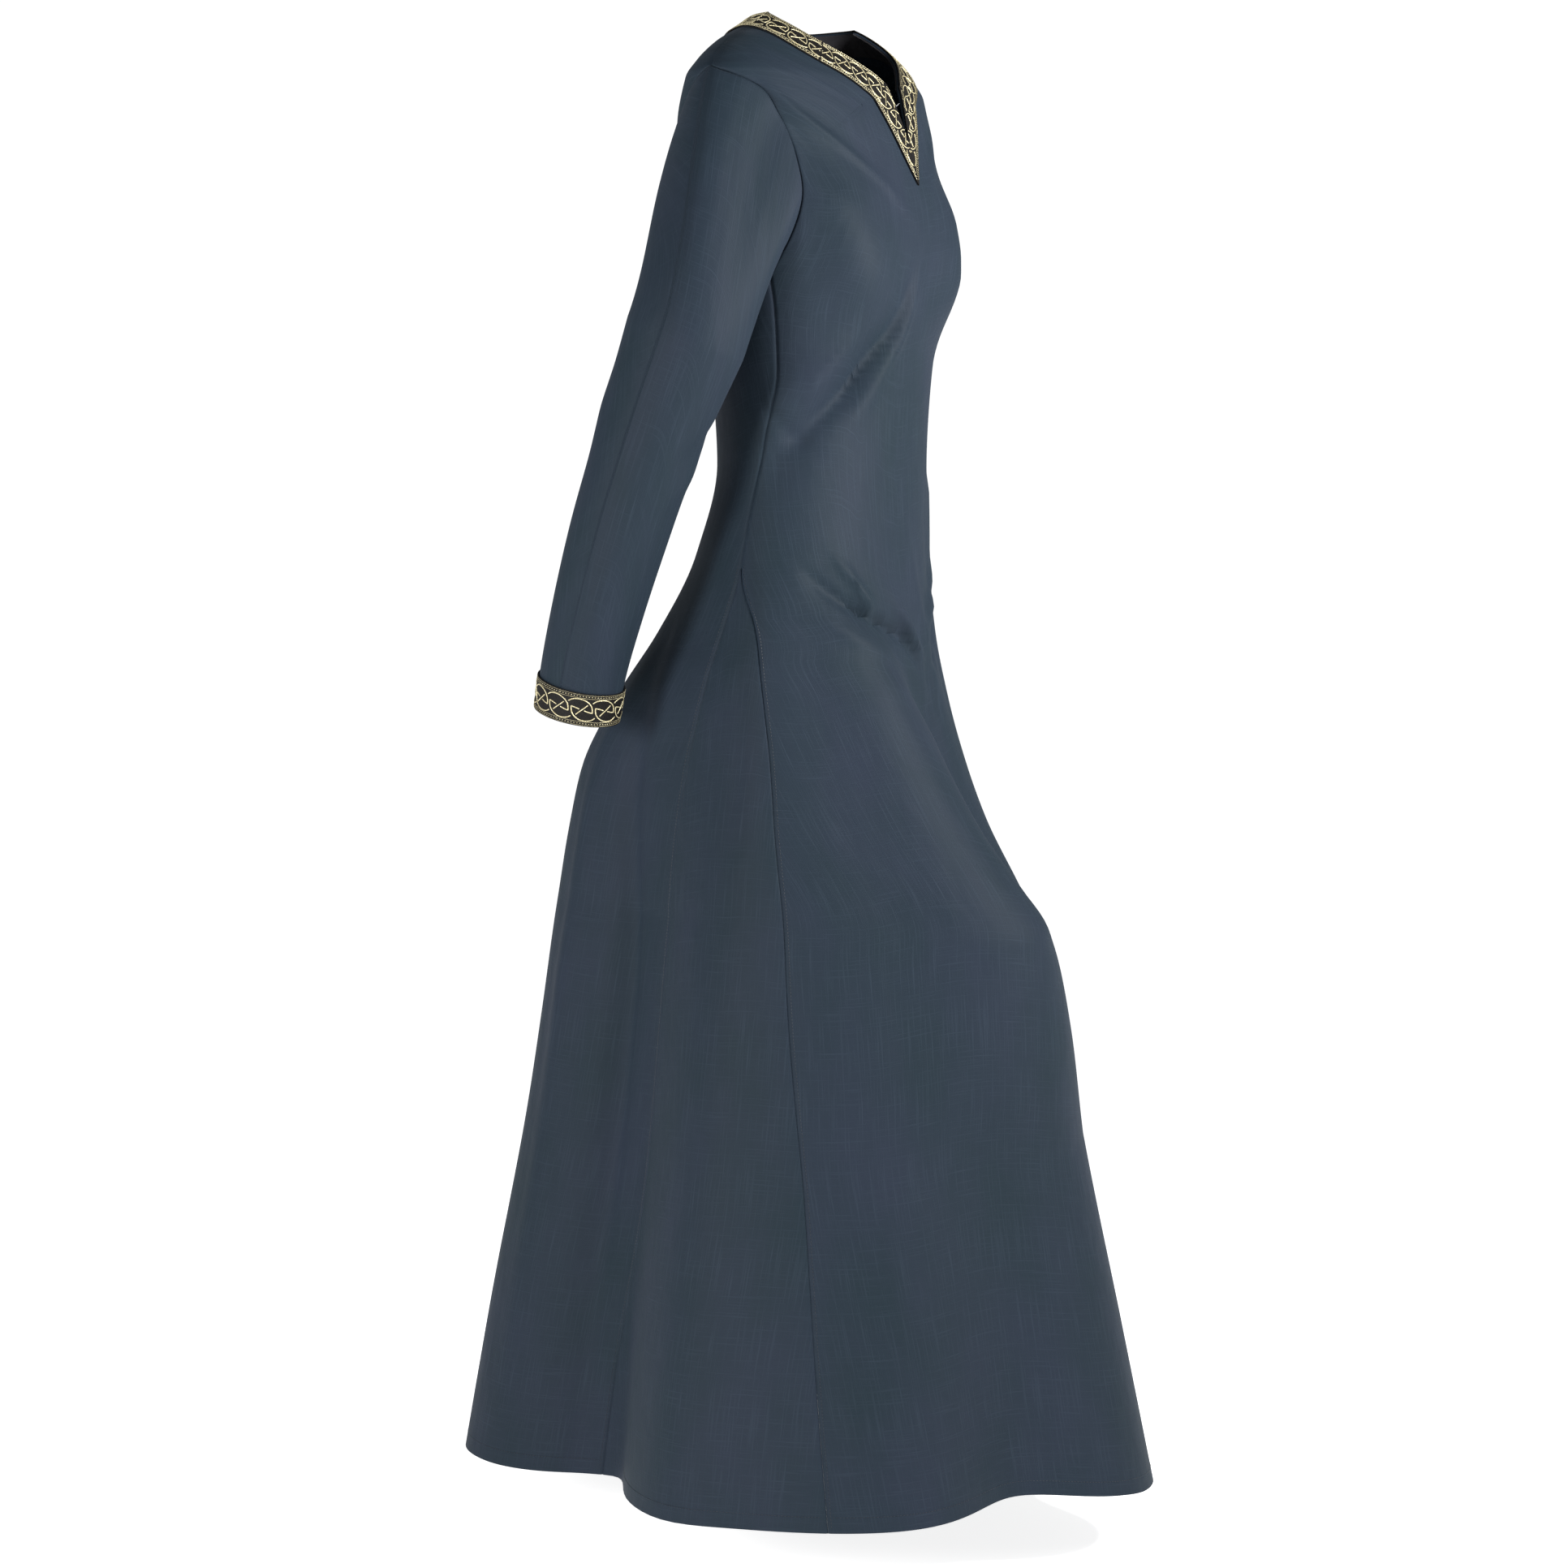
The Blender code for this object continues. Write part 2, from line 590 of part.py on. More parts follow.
def armhole_loop(front, back, sign):
    """The armhole's points, from the shoulder down the front and up the back, and the way the
    cloth leaves each of them."""
    start = len(front) - 1 - ARM_ROWS
    front_edge = front[start:, -1][::-1]
    back_edge = back[start:, -1][1:-1]
    ring = np.concatenate([front_edge, back_edge])
    front_inside = front[start:, -2][::-1]
    back_inside = back[start:, -2][1:-1]
    inside = np.concatenate([front_inside, back_inside])
    edge = form_point(sign * ring[:, 0], ring[:, 1])
    leave = edge - form_point(sign * inside[:, 0], inside[:, 1])
    leave /= np.linalg.norm(leave, axis=1, keepdims=True)
    return edge, leave


def sleeve_frame(sign, share):
    """Middle, side and fore directions and radii of the sleeve at shares of its arm stretch."""
    table = np.array(SLEEVE)
    table[:, 0] *= -sign
    if sign > 0:
        table[:, 0] += LEFT_ARM_OUT
    places = np.arange(len(table), dtype=float)
    at = np.atleast_1d(share) * (len(table) - 1)
    read = np.stack([natural_read(places, table[:, i], at) for i in range(5)], -1)
    ahead = np.stack([natural_read(places, table[:, i], at + 0.01) for i in range(3)], -1)
    along = ahead - read[:, :3]
    along /= np.linalg.norm(along, axis=1, keepdims=True)
    side = np.array([sign, 0.0, 0.0]) - along * (along @ np.array([sign, 0.0, 0.0]))[:, None]
    side /= np.linalg.norm(side, axis=1, keepdims=True)
    fore = np.cross(along, side) * sign
    return read[:, :3], along, side, fore, read[:, 3], read[:, 4]


def sleeve_points(front, back, sign):
    """The sleeve's outer points: rings from the armhole over the cap and down to the cuff."""
    edge, leave = armhole_loop(front, back, sign)
    count = len(edge)
    angle = 2 * math.pi * np.arange(count) / count
    turned = angle - math.radians(UNDERARM_LEAD) * (0.5 - 0.5 * np.cos(angle))
    share = np.linspace(0, 1, SLEEVE_ARM_RINGS + 1)
    middle, along, side, fore, wide, deep = sleeve_frame(sign, share)
    arm = (middle[:, None] + side[:, None] * (wide[:, None] * np.cos(turned))[..., None]
           + fore[:, None] * (deep[:, None] * np.sin(turned))[..., None])
    top = 0.5 + 0.5 * np.cos(angle)[:, None]
    behind = np.clip(-np.sin(angle), 0, 1)[:, None]
    clear = np.clip((edge[:, 2:] - UNDERARM) / ARMPIT_SPREAD, 0, 1) ** 2
    outward = np.array([sign, 0.0, -0.35])
    leave = leave * clear + outward * (1 - 0.75 * clear)
    leave /= np.linalg.norm(leave, axis=1, keepdims=True)
    start_pull = leave * (ARMPIT_PULL + (CAP_REACH - ARMPIT_PULL) * top + CAP_BACK * behind)
    end_pull = along[0] * (ARMPIT_PULL + (CAP_DROP - ARMPIT_PULL) * top + CAP_BACK * behind)
    edge = edge + SEAM_GAP / 2 * leave
    swell = CAP_SWELL * behind * np.array([0.0, 6.75, 0.0])
    rings = []
    for s in np.linspace(0, 1, SLEEVE_CAP_RINGS + 1)[:-1]:
        rings.append((1 + 2 * s) * (1 - s) ** 2 * edge + s * (1 - s) ** 2 * start_pull
                     + s * s * (3 - 2 * s) * arm[0] + s * s * (s - 1) * end_pull
                     + s * (1 - s) ** 2 * swell)
    return np.concatenate([np.array(rings), arm])


def ring_normals(rings, sign):
    """The direction out of a tube at each of its ring points."""
    around = np.roll(rings, -1, axis=1) - np.roll(rings, 1, axis=1)
    along = np.gradient(rings, axis=0)
    normal = np.cross(around, along) * sign
    return normal / np.linalg.norm(normal, axis=-1, keepdims=True)


def ring_triangles(rows, columns):
    """Triangles of a tube with the given numbers of rings and points."""
    numbers = np.arange(rows * columns).reshape(rows, columns)
    return grid_triangles(np.concatenate([numbers, numbers[:, :1]], axis=1))


def sleeve(name, rings, sign, material):
    """A sleeve as a wall around its hollow, open at the armhole and the cuff."""
    normal = ring_normals(rings, sign)
    rows, columns = rings.shape[:2]
    return solid_from_sheet(name, rings.reshape(-1, 3), (rings - CLOTH * normal).reshape(-1, 3),
                            ring_triangles(rows, columns), material)


def cuff_ribbon(name, rings, sign, material):
    """The ribbon around the sleeve's end, one ribbon width long."""
    normal = ring_normals(rings, sign)
    reach = np.linalg.norm(rings[-1].mean(axis=0) - rings[:, :].mean(axis=1), axis=1)
    order = np.argsort(reach)
    places = reach[order]
    wanted = np.linspace(RIBBON_WIDTH, 0.0005, BAND_STEPS + 1)
    points = np.empty((len(wanted),) + rings.shape[1:])
    ways = np.empty_like(points)
    for j in range(rings.shape[1]):
        for axis in range(3):
            points[:, j, axis] = np.interp(wanted, places, rings[order, j, axis])
            ways[:, j, axis] = np.interp(wanted, places, normal[order, j, axis])
    ways /= np.linalg.norm(ways, axis=-1, keepdims=True)
    rows, columns = points.shape[:2]
    return solid_from_sheet(name, (points + (RIBBON_LIFT + RIBBON_THICK) * ways).reshape(-1, 3),
                            (points + RIBBON_LIFT * ways).reshape(-1, 3),
                            ring_triangles(rows, columns), material)


def build():
    """Make every piece of the gown."""
    for thing in list(bpy.data.objects):
        bpy.data.objects.remove(thing, do_unlink=True)
    cloth = make_material("gown_cloth", (0.048, 0.060, 0.080), 0.85)
    ribbon = make_material("ribbon", (0.030, 0.026, 0.020), 0.60)
    facing = make_material("facing_cloth", (0.012, 0.011, 0.012), 0.90)
    front, front_corner = front_half()
    back, back_corner = back_half(front[-1])
    slit_row = len(front) - 1 - NECK_ROWS - SLIT_ROWS
    panel("front_panel", front, slit_row, cloth)
    panel("back_panel", back, back_corner, cloth)
    strip = neck_strip(front, front_corner, BACK_BAND_STEPS)
    neck_band("neck_ribbon", strip, RIBBON_LIFT, RIBBON_THICK, ribbon)
    strip = neck_strip(front, front_corner, NECK_ROWS)
    neck_band("neck_facing", strip, -(CLOTH + LINING) - np.array(FACING_GAPS), LINING, facing)
    for side_name, sign in (("right", -1), ("left", 1)):
        gore("gore_" + side_name, sign, cloth)
        slit_ribbon("slit_ribbon_" + side_name, front, front_corner, sign, ribbon)
        rings = sleeve_points(front, back, sign)
        sleeve("sleeve_" + side_name, rings, sign, cloth)
        cuff_ribbon("cuff_ribbon_" + side_name, rings, sign, ribbon)


build()
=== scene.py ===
"""The looks of a long worn gown with a slit round neck, flared side gores, long sleeves and woven
trims. Metres, +Z up. The wearer faces -Y and their right is -X.

Every panel is a thin shell on one body form, which is read at a turn and a height, as the solids
are. A turn is an angle in degrees around the body: 0 at the front, 90 at the wearer's left, 180 at
the back and -90 at the wearer's right.
"""
import math

import bmesh
import bpy
import numpy as np
from mathutils import Matrix, Vector


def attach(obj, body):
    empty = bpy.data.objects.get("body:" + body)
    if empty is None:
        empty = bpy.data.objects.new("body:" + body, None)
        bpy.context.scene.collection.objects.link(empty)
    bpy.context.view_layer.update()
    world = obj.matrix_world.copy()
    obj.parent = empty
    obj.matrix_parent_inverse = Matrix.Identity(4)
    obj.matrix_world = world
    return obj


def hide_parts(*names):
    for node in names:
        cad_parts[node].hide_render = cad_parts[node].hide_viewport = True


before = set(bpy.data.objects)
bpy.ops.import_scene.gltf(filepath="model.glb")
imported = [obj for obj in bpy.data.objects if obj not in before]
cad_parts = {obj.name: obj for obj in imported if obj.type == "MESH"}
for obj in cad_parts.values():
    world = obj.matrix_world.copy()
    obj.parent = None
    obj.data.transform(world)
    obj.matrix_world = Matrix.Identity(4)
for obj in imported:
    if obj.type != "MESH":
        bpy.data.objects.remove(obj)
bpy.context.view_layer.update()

# Sizes that the solids have too
CLOTH = 0.0018
LINING = 0.0012
SEAM_GAP = 0.0003
RIBBON_WIDTH = 0.034
RIBBON_THICK = 0.0012
RIBBON_LIFT = 0.0008
FACING_GAPS = (0.0004, 0.0020, 0.0030)
HEM = -1.457
UNDERARM = -0.262
BACK_NECK = -0.006
NECK_CORNER = (4.4, -0.066)
SLIT_END = -0.122
RIBBON_POINT = -0.166
GORE_TOP = -0.545
GORE_TIP = 0.002
SIDE_TURN = 90.0
NECK_SHIFT = 10.0
NECK_SHIFT_HEIGHTS = (-0.30, -0.17)

# The shells nearly meet at their seams, where their edges roll inwards. The steps are the last
# columns' distances from a seam
CLOSE_GAP = 0.00006
SEAM_ROLL = 0.0013
ROLL_REACH = 0.0013
SEAM_STEPS = (0.0042, 0.0021, 0.0009, 0.0)
CAP_LENGTH = 0.19

# How finely the shells are divided
BAND_STEPS = 10
PANEL_STEPS = 48
GORE_STEPS = 30
LOW_ROWS = 144
ARM_ROWS = 56
SLIT_ROWS = 12
NECK_ROWS = 28
BACK_BAND_STEPS = 60
SLEEVE_CAP_RINGS = 35
SLEEVE_ARM_RINGS = 72

# The body form, a row for each height: half width, then where its front, side and back lie in Y,
# and how far it is turned about the vertical, in degrees
FORM = (
    # height, half, front, side, back, twist
    (0.000, 0.077, -0.006, 0.012, 0.064, -9.0),
    (-0.012, 0.100, -0.024, 0.012, 0.070, -9.0),
    (-0.030, 0.138, -0.040, 0.013, 0.079, -9.0),
    (-0.050, 0.164, -0.055, 0.014, 0.089, -9.0),
    (-0.066, 0.175, -0.065, 0.015, 0.097, -9.0),
    (-0.100, 0.175, -0.077, 0.014, 0.108, -9.0),
    (-0.140, 0.171, -0.088, 0.010, 0.114, -9.0),
    (-0.190, 0.166, -0.102, 0.004, 0.116, -8.0),
    (-0.235, 0.160, -0.110, 0.000, 0.113, -7.0),
    (-0.280, 0.153, -0.110, 0.000, 0.107, -6.0),
    (-0.340, 0.144, -0.101, 0.000, 0.099, -5.0),
    (-0.440, 0.138, -0.096, 0.000, 0.092, -4.0),
    (-0.530, 0.152, -0.097, 0.000, 0.118, -2.0),
    (-0.610, 0.172, -0.102, 0.000, 0.165, 0.0),
    (-0.680, 0.186, -0.116, 0.000, 0.217, 0.0),
    (-0.750, 0.198, -0.138, 0.000, 0.256, 0.0),
    (-0.800, 0.208, -0.158, 0.000, 0.268, 0.0),
    (-0.900, 0.226, -0.210, 0.000, 0.284, 0.0),
    (-1.000, 0.240, -0.236, 0.000, 0.297, 0.0),
    (-1.100, 0.252, -0.254, 0.000, 0.312, 0.0),
    (-1.300, 0.276, -0.298, 0.000, 0.351, 0.0),
    (-1.480, 0.293, -0.338, 0.000, 0.384, 0.0),
)

# Swells and hollows. Each is a soft ridge along a line of two or more points, a row for each
# point: how far the ridge spreads to each side there, and how far it stands out
FOLDS = (
    # name, turn, height, width, rise
    ("bust_right", -34, -0.205, 0.046, 0.015),
    ("bust_right", -32, -0.250, 0.046, 0.018),
    ("bust_left", 34, -0.205, 0.046, 0.015),
    ("bust_left", 32, -0.250, 0.046, 0.018),
    ("shoulder_blade_right", -132, -0.110, 0.060, 0.006),
    ("shoulder_blade_right", -136, -0.200, 0.060, 0.010),
    ("shoulder_blade_left", 132, -0.110, 0.060, 0.006),
    ("shoulder_blade_left", 136, -0.200, 0.060, 0.010),
    ("bust_to_waist_hollow", -12, -0.270, 0.022, -0.003),
    ("bust_to_waist_hollow", -34, -0.360, 0.022, -0.008),
    ("bust_to_waist_hollow", -74, -0.440, 0.026, -0.004),
    ("bust_to_waist_ridge", -30, -0.300, 0.022, 0.002),
    ("bust_to_waist_ridge", -56, -0.365, 0.022, 0.006),
    ("bust_to_waist_ridge", -84, -0.400, 0.022, 0.002),
    ("leg_right", -44, -0.560, 0.050, 0.004),
    ("leg_right", -30, -0.680, 0.060, 0.030),
    ("leg_right", -14, -0.900, 0.085, 0.058),
    ("leg_right", -6, -1.120, 0.105, 0.026),
    ("leg_right", 2, -1.520, 0.110, 0.018),
    ("groin_hollow", -52, -0.560, 0.024, -0.003),
    ("groin_hollow", -20, -0.620, 0.024, -0.008),
    ("groin_hollow", 2, -0.700, 0.030, -0.014),
    ("groin_hollow", 6, -0.860, 0.040, -0.016),
    ("gore_hollow_right", -118, -0.640, 0.070, -0.016),
    ("gore_hollow_right", -122, -0.900, 0.085, -0.060),
    ("gore_hollow_right", -126, -1.520, 0.100, -0.118),
    ("gore_hollow_left", 118, -0.640, 0.070, -0.010),
    ("gore_hollow_left", 128, -1.520, 0.095, -0.060),
    ("front_hollow_right", -26, -1.060, 0.060, 0.000),
    ("front_hollow_right", -28, -1.520, 0.085, -0.055),
    ("front_hollow_left", 30, -0.900, 0.060, 0.000),
    ("front_hollow_left", 38, -1.520, 0.085, -0.040),
)

# Finer creases, which the solids don't have, in the same form
CREASES = (
    # name, turn, height, width, rise
    ("shoulder_to_bust", -60, -0.072, 0.006, 0.0000),
    ("shoulder_to_bust", -48, -0.098, 0.0055, 0.0027),
    ("shoulder_to_bust", -30, -0.132, 0.0055, 0.0035),
    ("shoulder_to_bust", -12, -0.168, 0.006, 0.0031),
    ("shoulder_to_bust", 4, -0.208, 0.008, 0.0008),
    ("shoulder_fall", -64, -0.070, 0.008, -0.0004),
    ("shoulder_fall", -52, -0.108, 0.009, -0.0035),
    ("shoulder_fall", -40, -0.150, 0.011, -0.0031),
    ("shoulder_fall", -30, -0.196, 0.014, -0.0004),
    ("shoulder_to_bust_left", 52, -0.086, 0.010, 0.0000),
    ("shoulder_to_bust_left", 34, -0.126, 0.011, 0.0027),
    ("shoulder_to_bust_left", 18, -0.168, 0.012, 0.0012),
    ("under_bust_a", -2, -0.256, 0.008, -0.0012),
    ("under_bust_a", -16, -0.316, 0.008, -0.0066),
    ("under_bust_a", -38, -0.374, 0.009, -0.0078),
    ("under_bust_a", -62, -0.416, 0.011, -0.0039),
    ("under_bust_a", -80, -0.440, 0.012, -0.0004),
    ("under_bust_b", 2, -0.248, 0.007, 0.0008),
    ("under_bust_b", -10, -0.322, 0.008, 0.0059),
    ("under_bust_b", -26, -0.376, 0.009, 0.0043),
    ("under_bust_b", -40, -0.412, 0.010, 0.0004),
    ("under_bust_c", -24, -0.292, 0.007, 0.0004),
    ("under_bust_c", -42, -0.340, 0.007, 0.0043),
    ("under_bust_c", -64, -0.384, 0.009, 0.0004),
    ("waist_side_a", -92, -0.372, 0.009, 0.0004),
    ("waist_side_a", -70, -0.412, 0.010, -0.0035),
    ("waist_side_a", -48, -0.442, 0.010, -0.0004),
    ("thigh_crease_a", -64, -0.546, 0.008, -0.0008),
    ("thigh_crease_a", -48, -0.572, 0.007, -0.0070),
    ("thigh_crease_a", -34, -0.592, 0.006, -0.0101),
    ("thigh_crease_a", -8, -0.616, 0.007, -0.0094),
    ("thigh_crease_a", 6, -0.650, 0.010, -0.0047),
    ("thigh_crease_a", 18, -0.712, 0.012, -0.0008),
    ("thigh_crease_b", -48, -0.532, 0.007, 0.0004),
    ("thigh_crease_b", -38, -0.556, 0.006, 0.0066),
    ("thigh_crease_b", -31, -0.578, 0.006, 0.0074),
    ("thigh_crease_b", -28, -0.600, 0.006, 0.0008),
    ("thigh_crease_c", -20, -0.562, 0.008, 0.0004),
    ("thigh_crease_c", -8, -0.596, 0.007, 0.0070),
    ("thigh_crease_c", 2, -0.632, 0.007, 0.0059),
    ("thigh_crease_c", 8, -0.664, 0.009, 0.0008),
    ("thigh_crease_d", -58, -0.592, 0.009, 0.0004),
    ("thigh_crease_d", -42, -0.612, 0.008, 0.0051),
    ("thigh_crease_d", -24, -0.630, 0.009, 0.0047),
    ("thigh_crease_d", -8, -0.654, 0.010, 0.0004),
    ("far_thigh_a", 38, -0.536, 0.009, 0.0004),
    ("far_thigh_a", 20, -0.584, 0.008, 0.0059),
    ("far_thigh_a", 4, -0.630, 0.009, 0.0004),
    ("far_thigh_b", 34, -0.594, 0.009, -0.0004),
    ("far_thigh_b", 20, -0.624, 0.008, -0.0051),
    ("far_thigh_b", 8, -0.656, 0.010, -0.0008),
    ("belly_drag_a", -6, -0.470, 0.012, 0.0000),
    ("belly_drag_a", 4, -0.560, 0.010, 0.0024),
    ("belly_drag_a", 12, -0.640, 0.010, 0.0033),
    ("belly_drag_a", 16, -0.720, 0.012, 0.0003),
    ("belly_drag_b", 20, -0.480, 0.012, 0.0000),
    ("belly_drag_b", 26, -0.580, 0.011, -0.0030),
    ("belly_drag_b", 24, -0.700, 0.013, -0.0006),
    ("back_trough", -139, -0.600, 0.014, -0.0010),
    ("back_trough", -130, -0.740, 0.014, -0.0080),
    ("back_trough", -130, -0.952, 0.016, -0.0120),
    ("back_trough", -133, -1.116, 0.018, -0.0120),
    ("back_trough", -135, -1.300, 0.020, -0.0070),
    ("back_trough", -136, -1.500, 0.022, -0.0030),
    ("back_ridge", -143, -0.640, 0.014, 0.0010),
    ("back_ridge", -144, -0.776, 0.014, 0.0050),
    ("back_ridge", -147, -0.960, 0.016, 0.0070),
    ("back_ridge", -148, -1.204, 0.018, 0.0050),
    ("back_ridge", -149, -1.450, 0.020, 0.0010),
    ("left_hip_drag", 60, -0.420, 0.012, 0.0003),
    ("left_hip_drag", 42, -0.470, 0.012, 0.0030),
    ("left_hip_drag", 30, -0.540, 0.012, 0.0003),
    ("back_waist_a", -150, -0.360, 0.014, 0.0003),
    ("back_waist_a", -172, -0.400, 0.012, -0.0039),
    ("back_waist_a", 164, -0.424, 0.014, -0.0003),
    ("back_waist_b", 150, -0.350, 0.014, 0.0003),
    ("back_waist_b", 172, -0.384, 0.012, 0.0033),
    ("back_waist_b", -164, -0.410, 0.014, 0.0003),
    ("back_drag_right", -118, -0.280, 0.013, 0.0003),
    ("back_drag_right", -132, -0.330, 0.012, -0.0033),
    ("back_drag_right", -146, -0.390, 0.013, -0.0003),
    ("back_drag_left", 112, -0.290, 0.013, 0.0003),
    ("back_drag_left", 130, -0.340, 0.012, -0.0033),
    ("back_drag_left", 148, -0.396, 0.013, -0.0003),
    ("skirt_side_wave", -92, -0.760, 0.030, 0.0000),
    ("skirt_side_wave", -92, -1.100, 0.034, 0.0050),
    ("skirt_side_wave", -94, -1.500, 0.040, 0.0100),
    ("skirt_back_wave", 168, -0.760, 0.040, 0.0000),
    ("skirt_back_wave", 166, -1.500, 0.055, -0.0180),
    ("skirt_back_ridge", -164, -0.800, 0.036, 0.0000),
    ("skirt_back_ridge", -162, -1.500, 0.050, 0.0100),
)

# How far the hem is lifted, at a turn and over a spread of turns
HEM_LIFTS = (
    # name, turn, spread, lift
    ("front_right", -26, 18, 0.012),
    ("back_right", -142, 26, -0.010),
)

# Where the seams run around the body, a row for each height
SEAMS = (
    # height, front_of_gore, back_of_gore
    (-0.262, 74.0, 74.0),
    (-0.290, 73.5, 73.5),
    (-0.356, 74.0, 74.0),
    (-0.415, 82.0, 82.0),
    (-0.500, 93.0, 93.0),
    (-0.545, 96.0, 96.0),
    (-0.624, 84.0, 104.5),
    (-0.740, 76.0, 108.0),
    (-0.852, 74.0, 111.0),
    (-0.966, 73.0, 113.0),
    (-1.153, 69.5, 118.0),
    (-1.348, 68.0, 127.0),
    (-1.480, 67.0, 130.0),
)

# The armhole from the underarm up the front to the shoulder, and up the back
ARMHOLE_FRONT = (
    # turn, height
    (74.0, -0.262),
    (63.5, -0.228),
    (55.5, -0.188),
    (53.0, -0.142),
    (55.5, -0.106),
    (64.0, -0.078),
    (90.0, -0.060),
)
ARMHOLE_BACK = (
    # turn, height
    (74.0, -0.262),
    (102.0, -0.244),
    (117.0, -0.205),
    (122.0, -0.155),
    (119.0, -0.112),
    (108.0, -0.080),
    (90.0, -0.060),
)

# The neck edge, from the top of the slit to the shoulder seam, and on to the middle of the back
NECK_FRONT = (
    # turn, height
    (4.4, -0.066),
    (11.0, -0.053),
    (24.0, -0.037),
    (46.0, -0.018),
    (68.0, -0.006),
    (90.0, 0.000),
)
NECK_BACK = (
    # turn, height
    (180.0, -0.006),
    (158.0, -0.005),
    (136.0, -0.003),
    (113.0, -0.001),
    (90.0, 0.000),
)

# The right sleeve's middle line and its size, from above the elbow to the cuff
SLEEVE = (
    # x, y, z, side, fore
    (-0.211, 0.048, -0.325, 0.052, 0.061),
    (-0.214, 0.072, -0.386, 0.049, 0.055),
    (-0.216, 0.096, -0.450, 0.046, 0.051),
    (-0.214, 0.120, -0.514, 0.044, 0.049),
    (-0.207, 0.144, -0.578, 0.042, 0.046),
    (-0.198, 0.166, -0.641, 0.040, 0.043),
    (-0.190, 0.179, -0.689, 0.038, 0.042),
)
LEFT_ARM_OUT = 0.012
CAP_REACH = 0.13
CAP_BACK = 0.05
CAP_SWELL = 0.013
ARMPIT_PULL = 0.03
ARMPIT_SPREAD = 0.15
UNDERARM_LEAD = 50
CAP_DROP = 0.20
LEAVE_EVENINGS = 60

# Creases of the sleeves, read at an angle around the sleeve, from its outer side towards the
# front, and at a share of its length from the armhole to the cuff
SLEEVE_CREASES = (
    # name, angle, share, width, rise
    ("cap_hollow_front", 95, 0.10, 0.020, -0.0010),
    ("cap_hollow_front", 70, 0.30, 0.022, -0.0020),
    ("elbow_front_a", 150, 0.42, 0.010, -0.0004),
    ("elbow_front_a", 105, 0.47, 0.010, -0.0026),
    ("elbow_front_a", 60, 0.53, 0.012, -0.0004),
    ("elbow_front_b", 140, 0.50, 0.010, 0.0004),
    ("elbow_front_b", 95, 0.55, 0.010, 0.0020),
    ("elbow_front_b", 50, 0.62, 0.012, 0.0002),
    ("elbow_back", 260, 0.38, 0.014, 0.0004),
    ("elbow_back", 300, 0.48, 0.014, 0.0022),
    ("elbow_back", 330, 0.60, 0.016, 0.0002),
    ("forearm_a", 40, 0.62, 0.012, 0.0002),
    ("forearm_a", 20, 0.76, 0.010, 0.0014),
    ("forearm_a", 30, 0.92, 0.010, 0.0002),
    ("forearm_b", 340, 0.60, 0.012, 0.0002),
    ("forearm_b", 350, 0.78, 0.012, -0.0016),
    ("forearm_b", 345, 0.94, 0.012, -0.0002),
    ("inner_arm", 190, 0.30, 0.014, 0.0002),
    ("inner_arm", 200, 0.50, 0.014, -0.0022),
    ("inner_arm", 195, 0.80, 0.014, -0.0002),
)

# The interlace, charted for one repeat of the ribbon around its middle. The loop runs from the
# left over the top, turns at the right and runs back to the crossing. The same loop, turned half
# round, closes the repeat, and the crossing strand lies over both
REPEAT = 0.0222
LOOP_STRAND = (
    # along, across
    (-0.0128, 0.0076),
    (-0.0100, 0.0098),
    (-0.0062, 0.0110),
    (-0.0018, 0.0111),
    (0.0024, 0.0099),
    (0.0060, 0.0075),
    (0.0085, 0.0042),
    (0.0096, 0.0006),
    (0.0099, -0.0026),
    (0.0066, -0.0020),
    (0.0022, -0.0006),
)
CROSSING_STRAND = (
    # along, across
    (-0.0050, -0.0054),
    (-0.0018, -0.0019),
    (0.0018, 0.0019),
    (0.0050, 0.0054),
)
STRAND_WIDTH = 0.0011
STRAND_HEIGHT = 0.0005

# The ribbon's borders, from its edge inwards: a line, a row of dashes and another line
BORDER_LINES = (
    # from_edge, width
    (0.0012, 0.00022),
    (0.0047, 0.00030),
)
DASH_FROM_EDGE = 0.0029
DASH_WIDTH = 0.0006
DASH_LENGTH = 0.0011
DASH_REPEAT = 0.0027
BORDER_HEIGHT = 0.0003

# The flat cut of every piece, in metres and square metres: the width and length of the cloth that
# it is cut from, and the area that is left when its shape is cut out
CUTS = {
    # name: (width, length, area)
    "front": (0.73, 1.615, 0.754),
    "back": (0.60, 1.63, 0.734),
    "side_gore_right": (0.39, 0.935, 0.189),
    "side_gore_left": (0.38, 0.935, 0.184),
    "long_sleeve_right": (0.545, 0.685, 0.179),
    "long_sleeve_left": (0.52, 0.69, 0.182),
    "neck_trim": (0.034, 0.60, 0.0199),
    "neck_lining": (0.034, 0.60, 0.0190),
    "slit_trim_right": (0.034, 0.12, 0.0022),
    "slit_trim_left": (0.034, 0.12, 0.0022),
    "cuff_trim_right": (0.034, 0.272, 0.0092),
    "cuff_trim_left": (0.034, 0.272, 0.0092),
}

# Rows of sewing: how far they lie from a gore's seam and from the hem, and their stitches
STITCH_FROM_SEAM = 0.0038
STITCH_FROM_HEM = 0.0150
STITCH_LENGTH = 0.0023
STITCH_REPEAT = 0.0032
STITCH_WIDTH = 0.00055


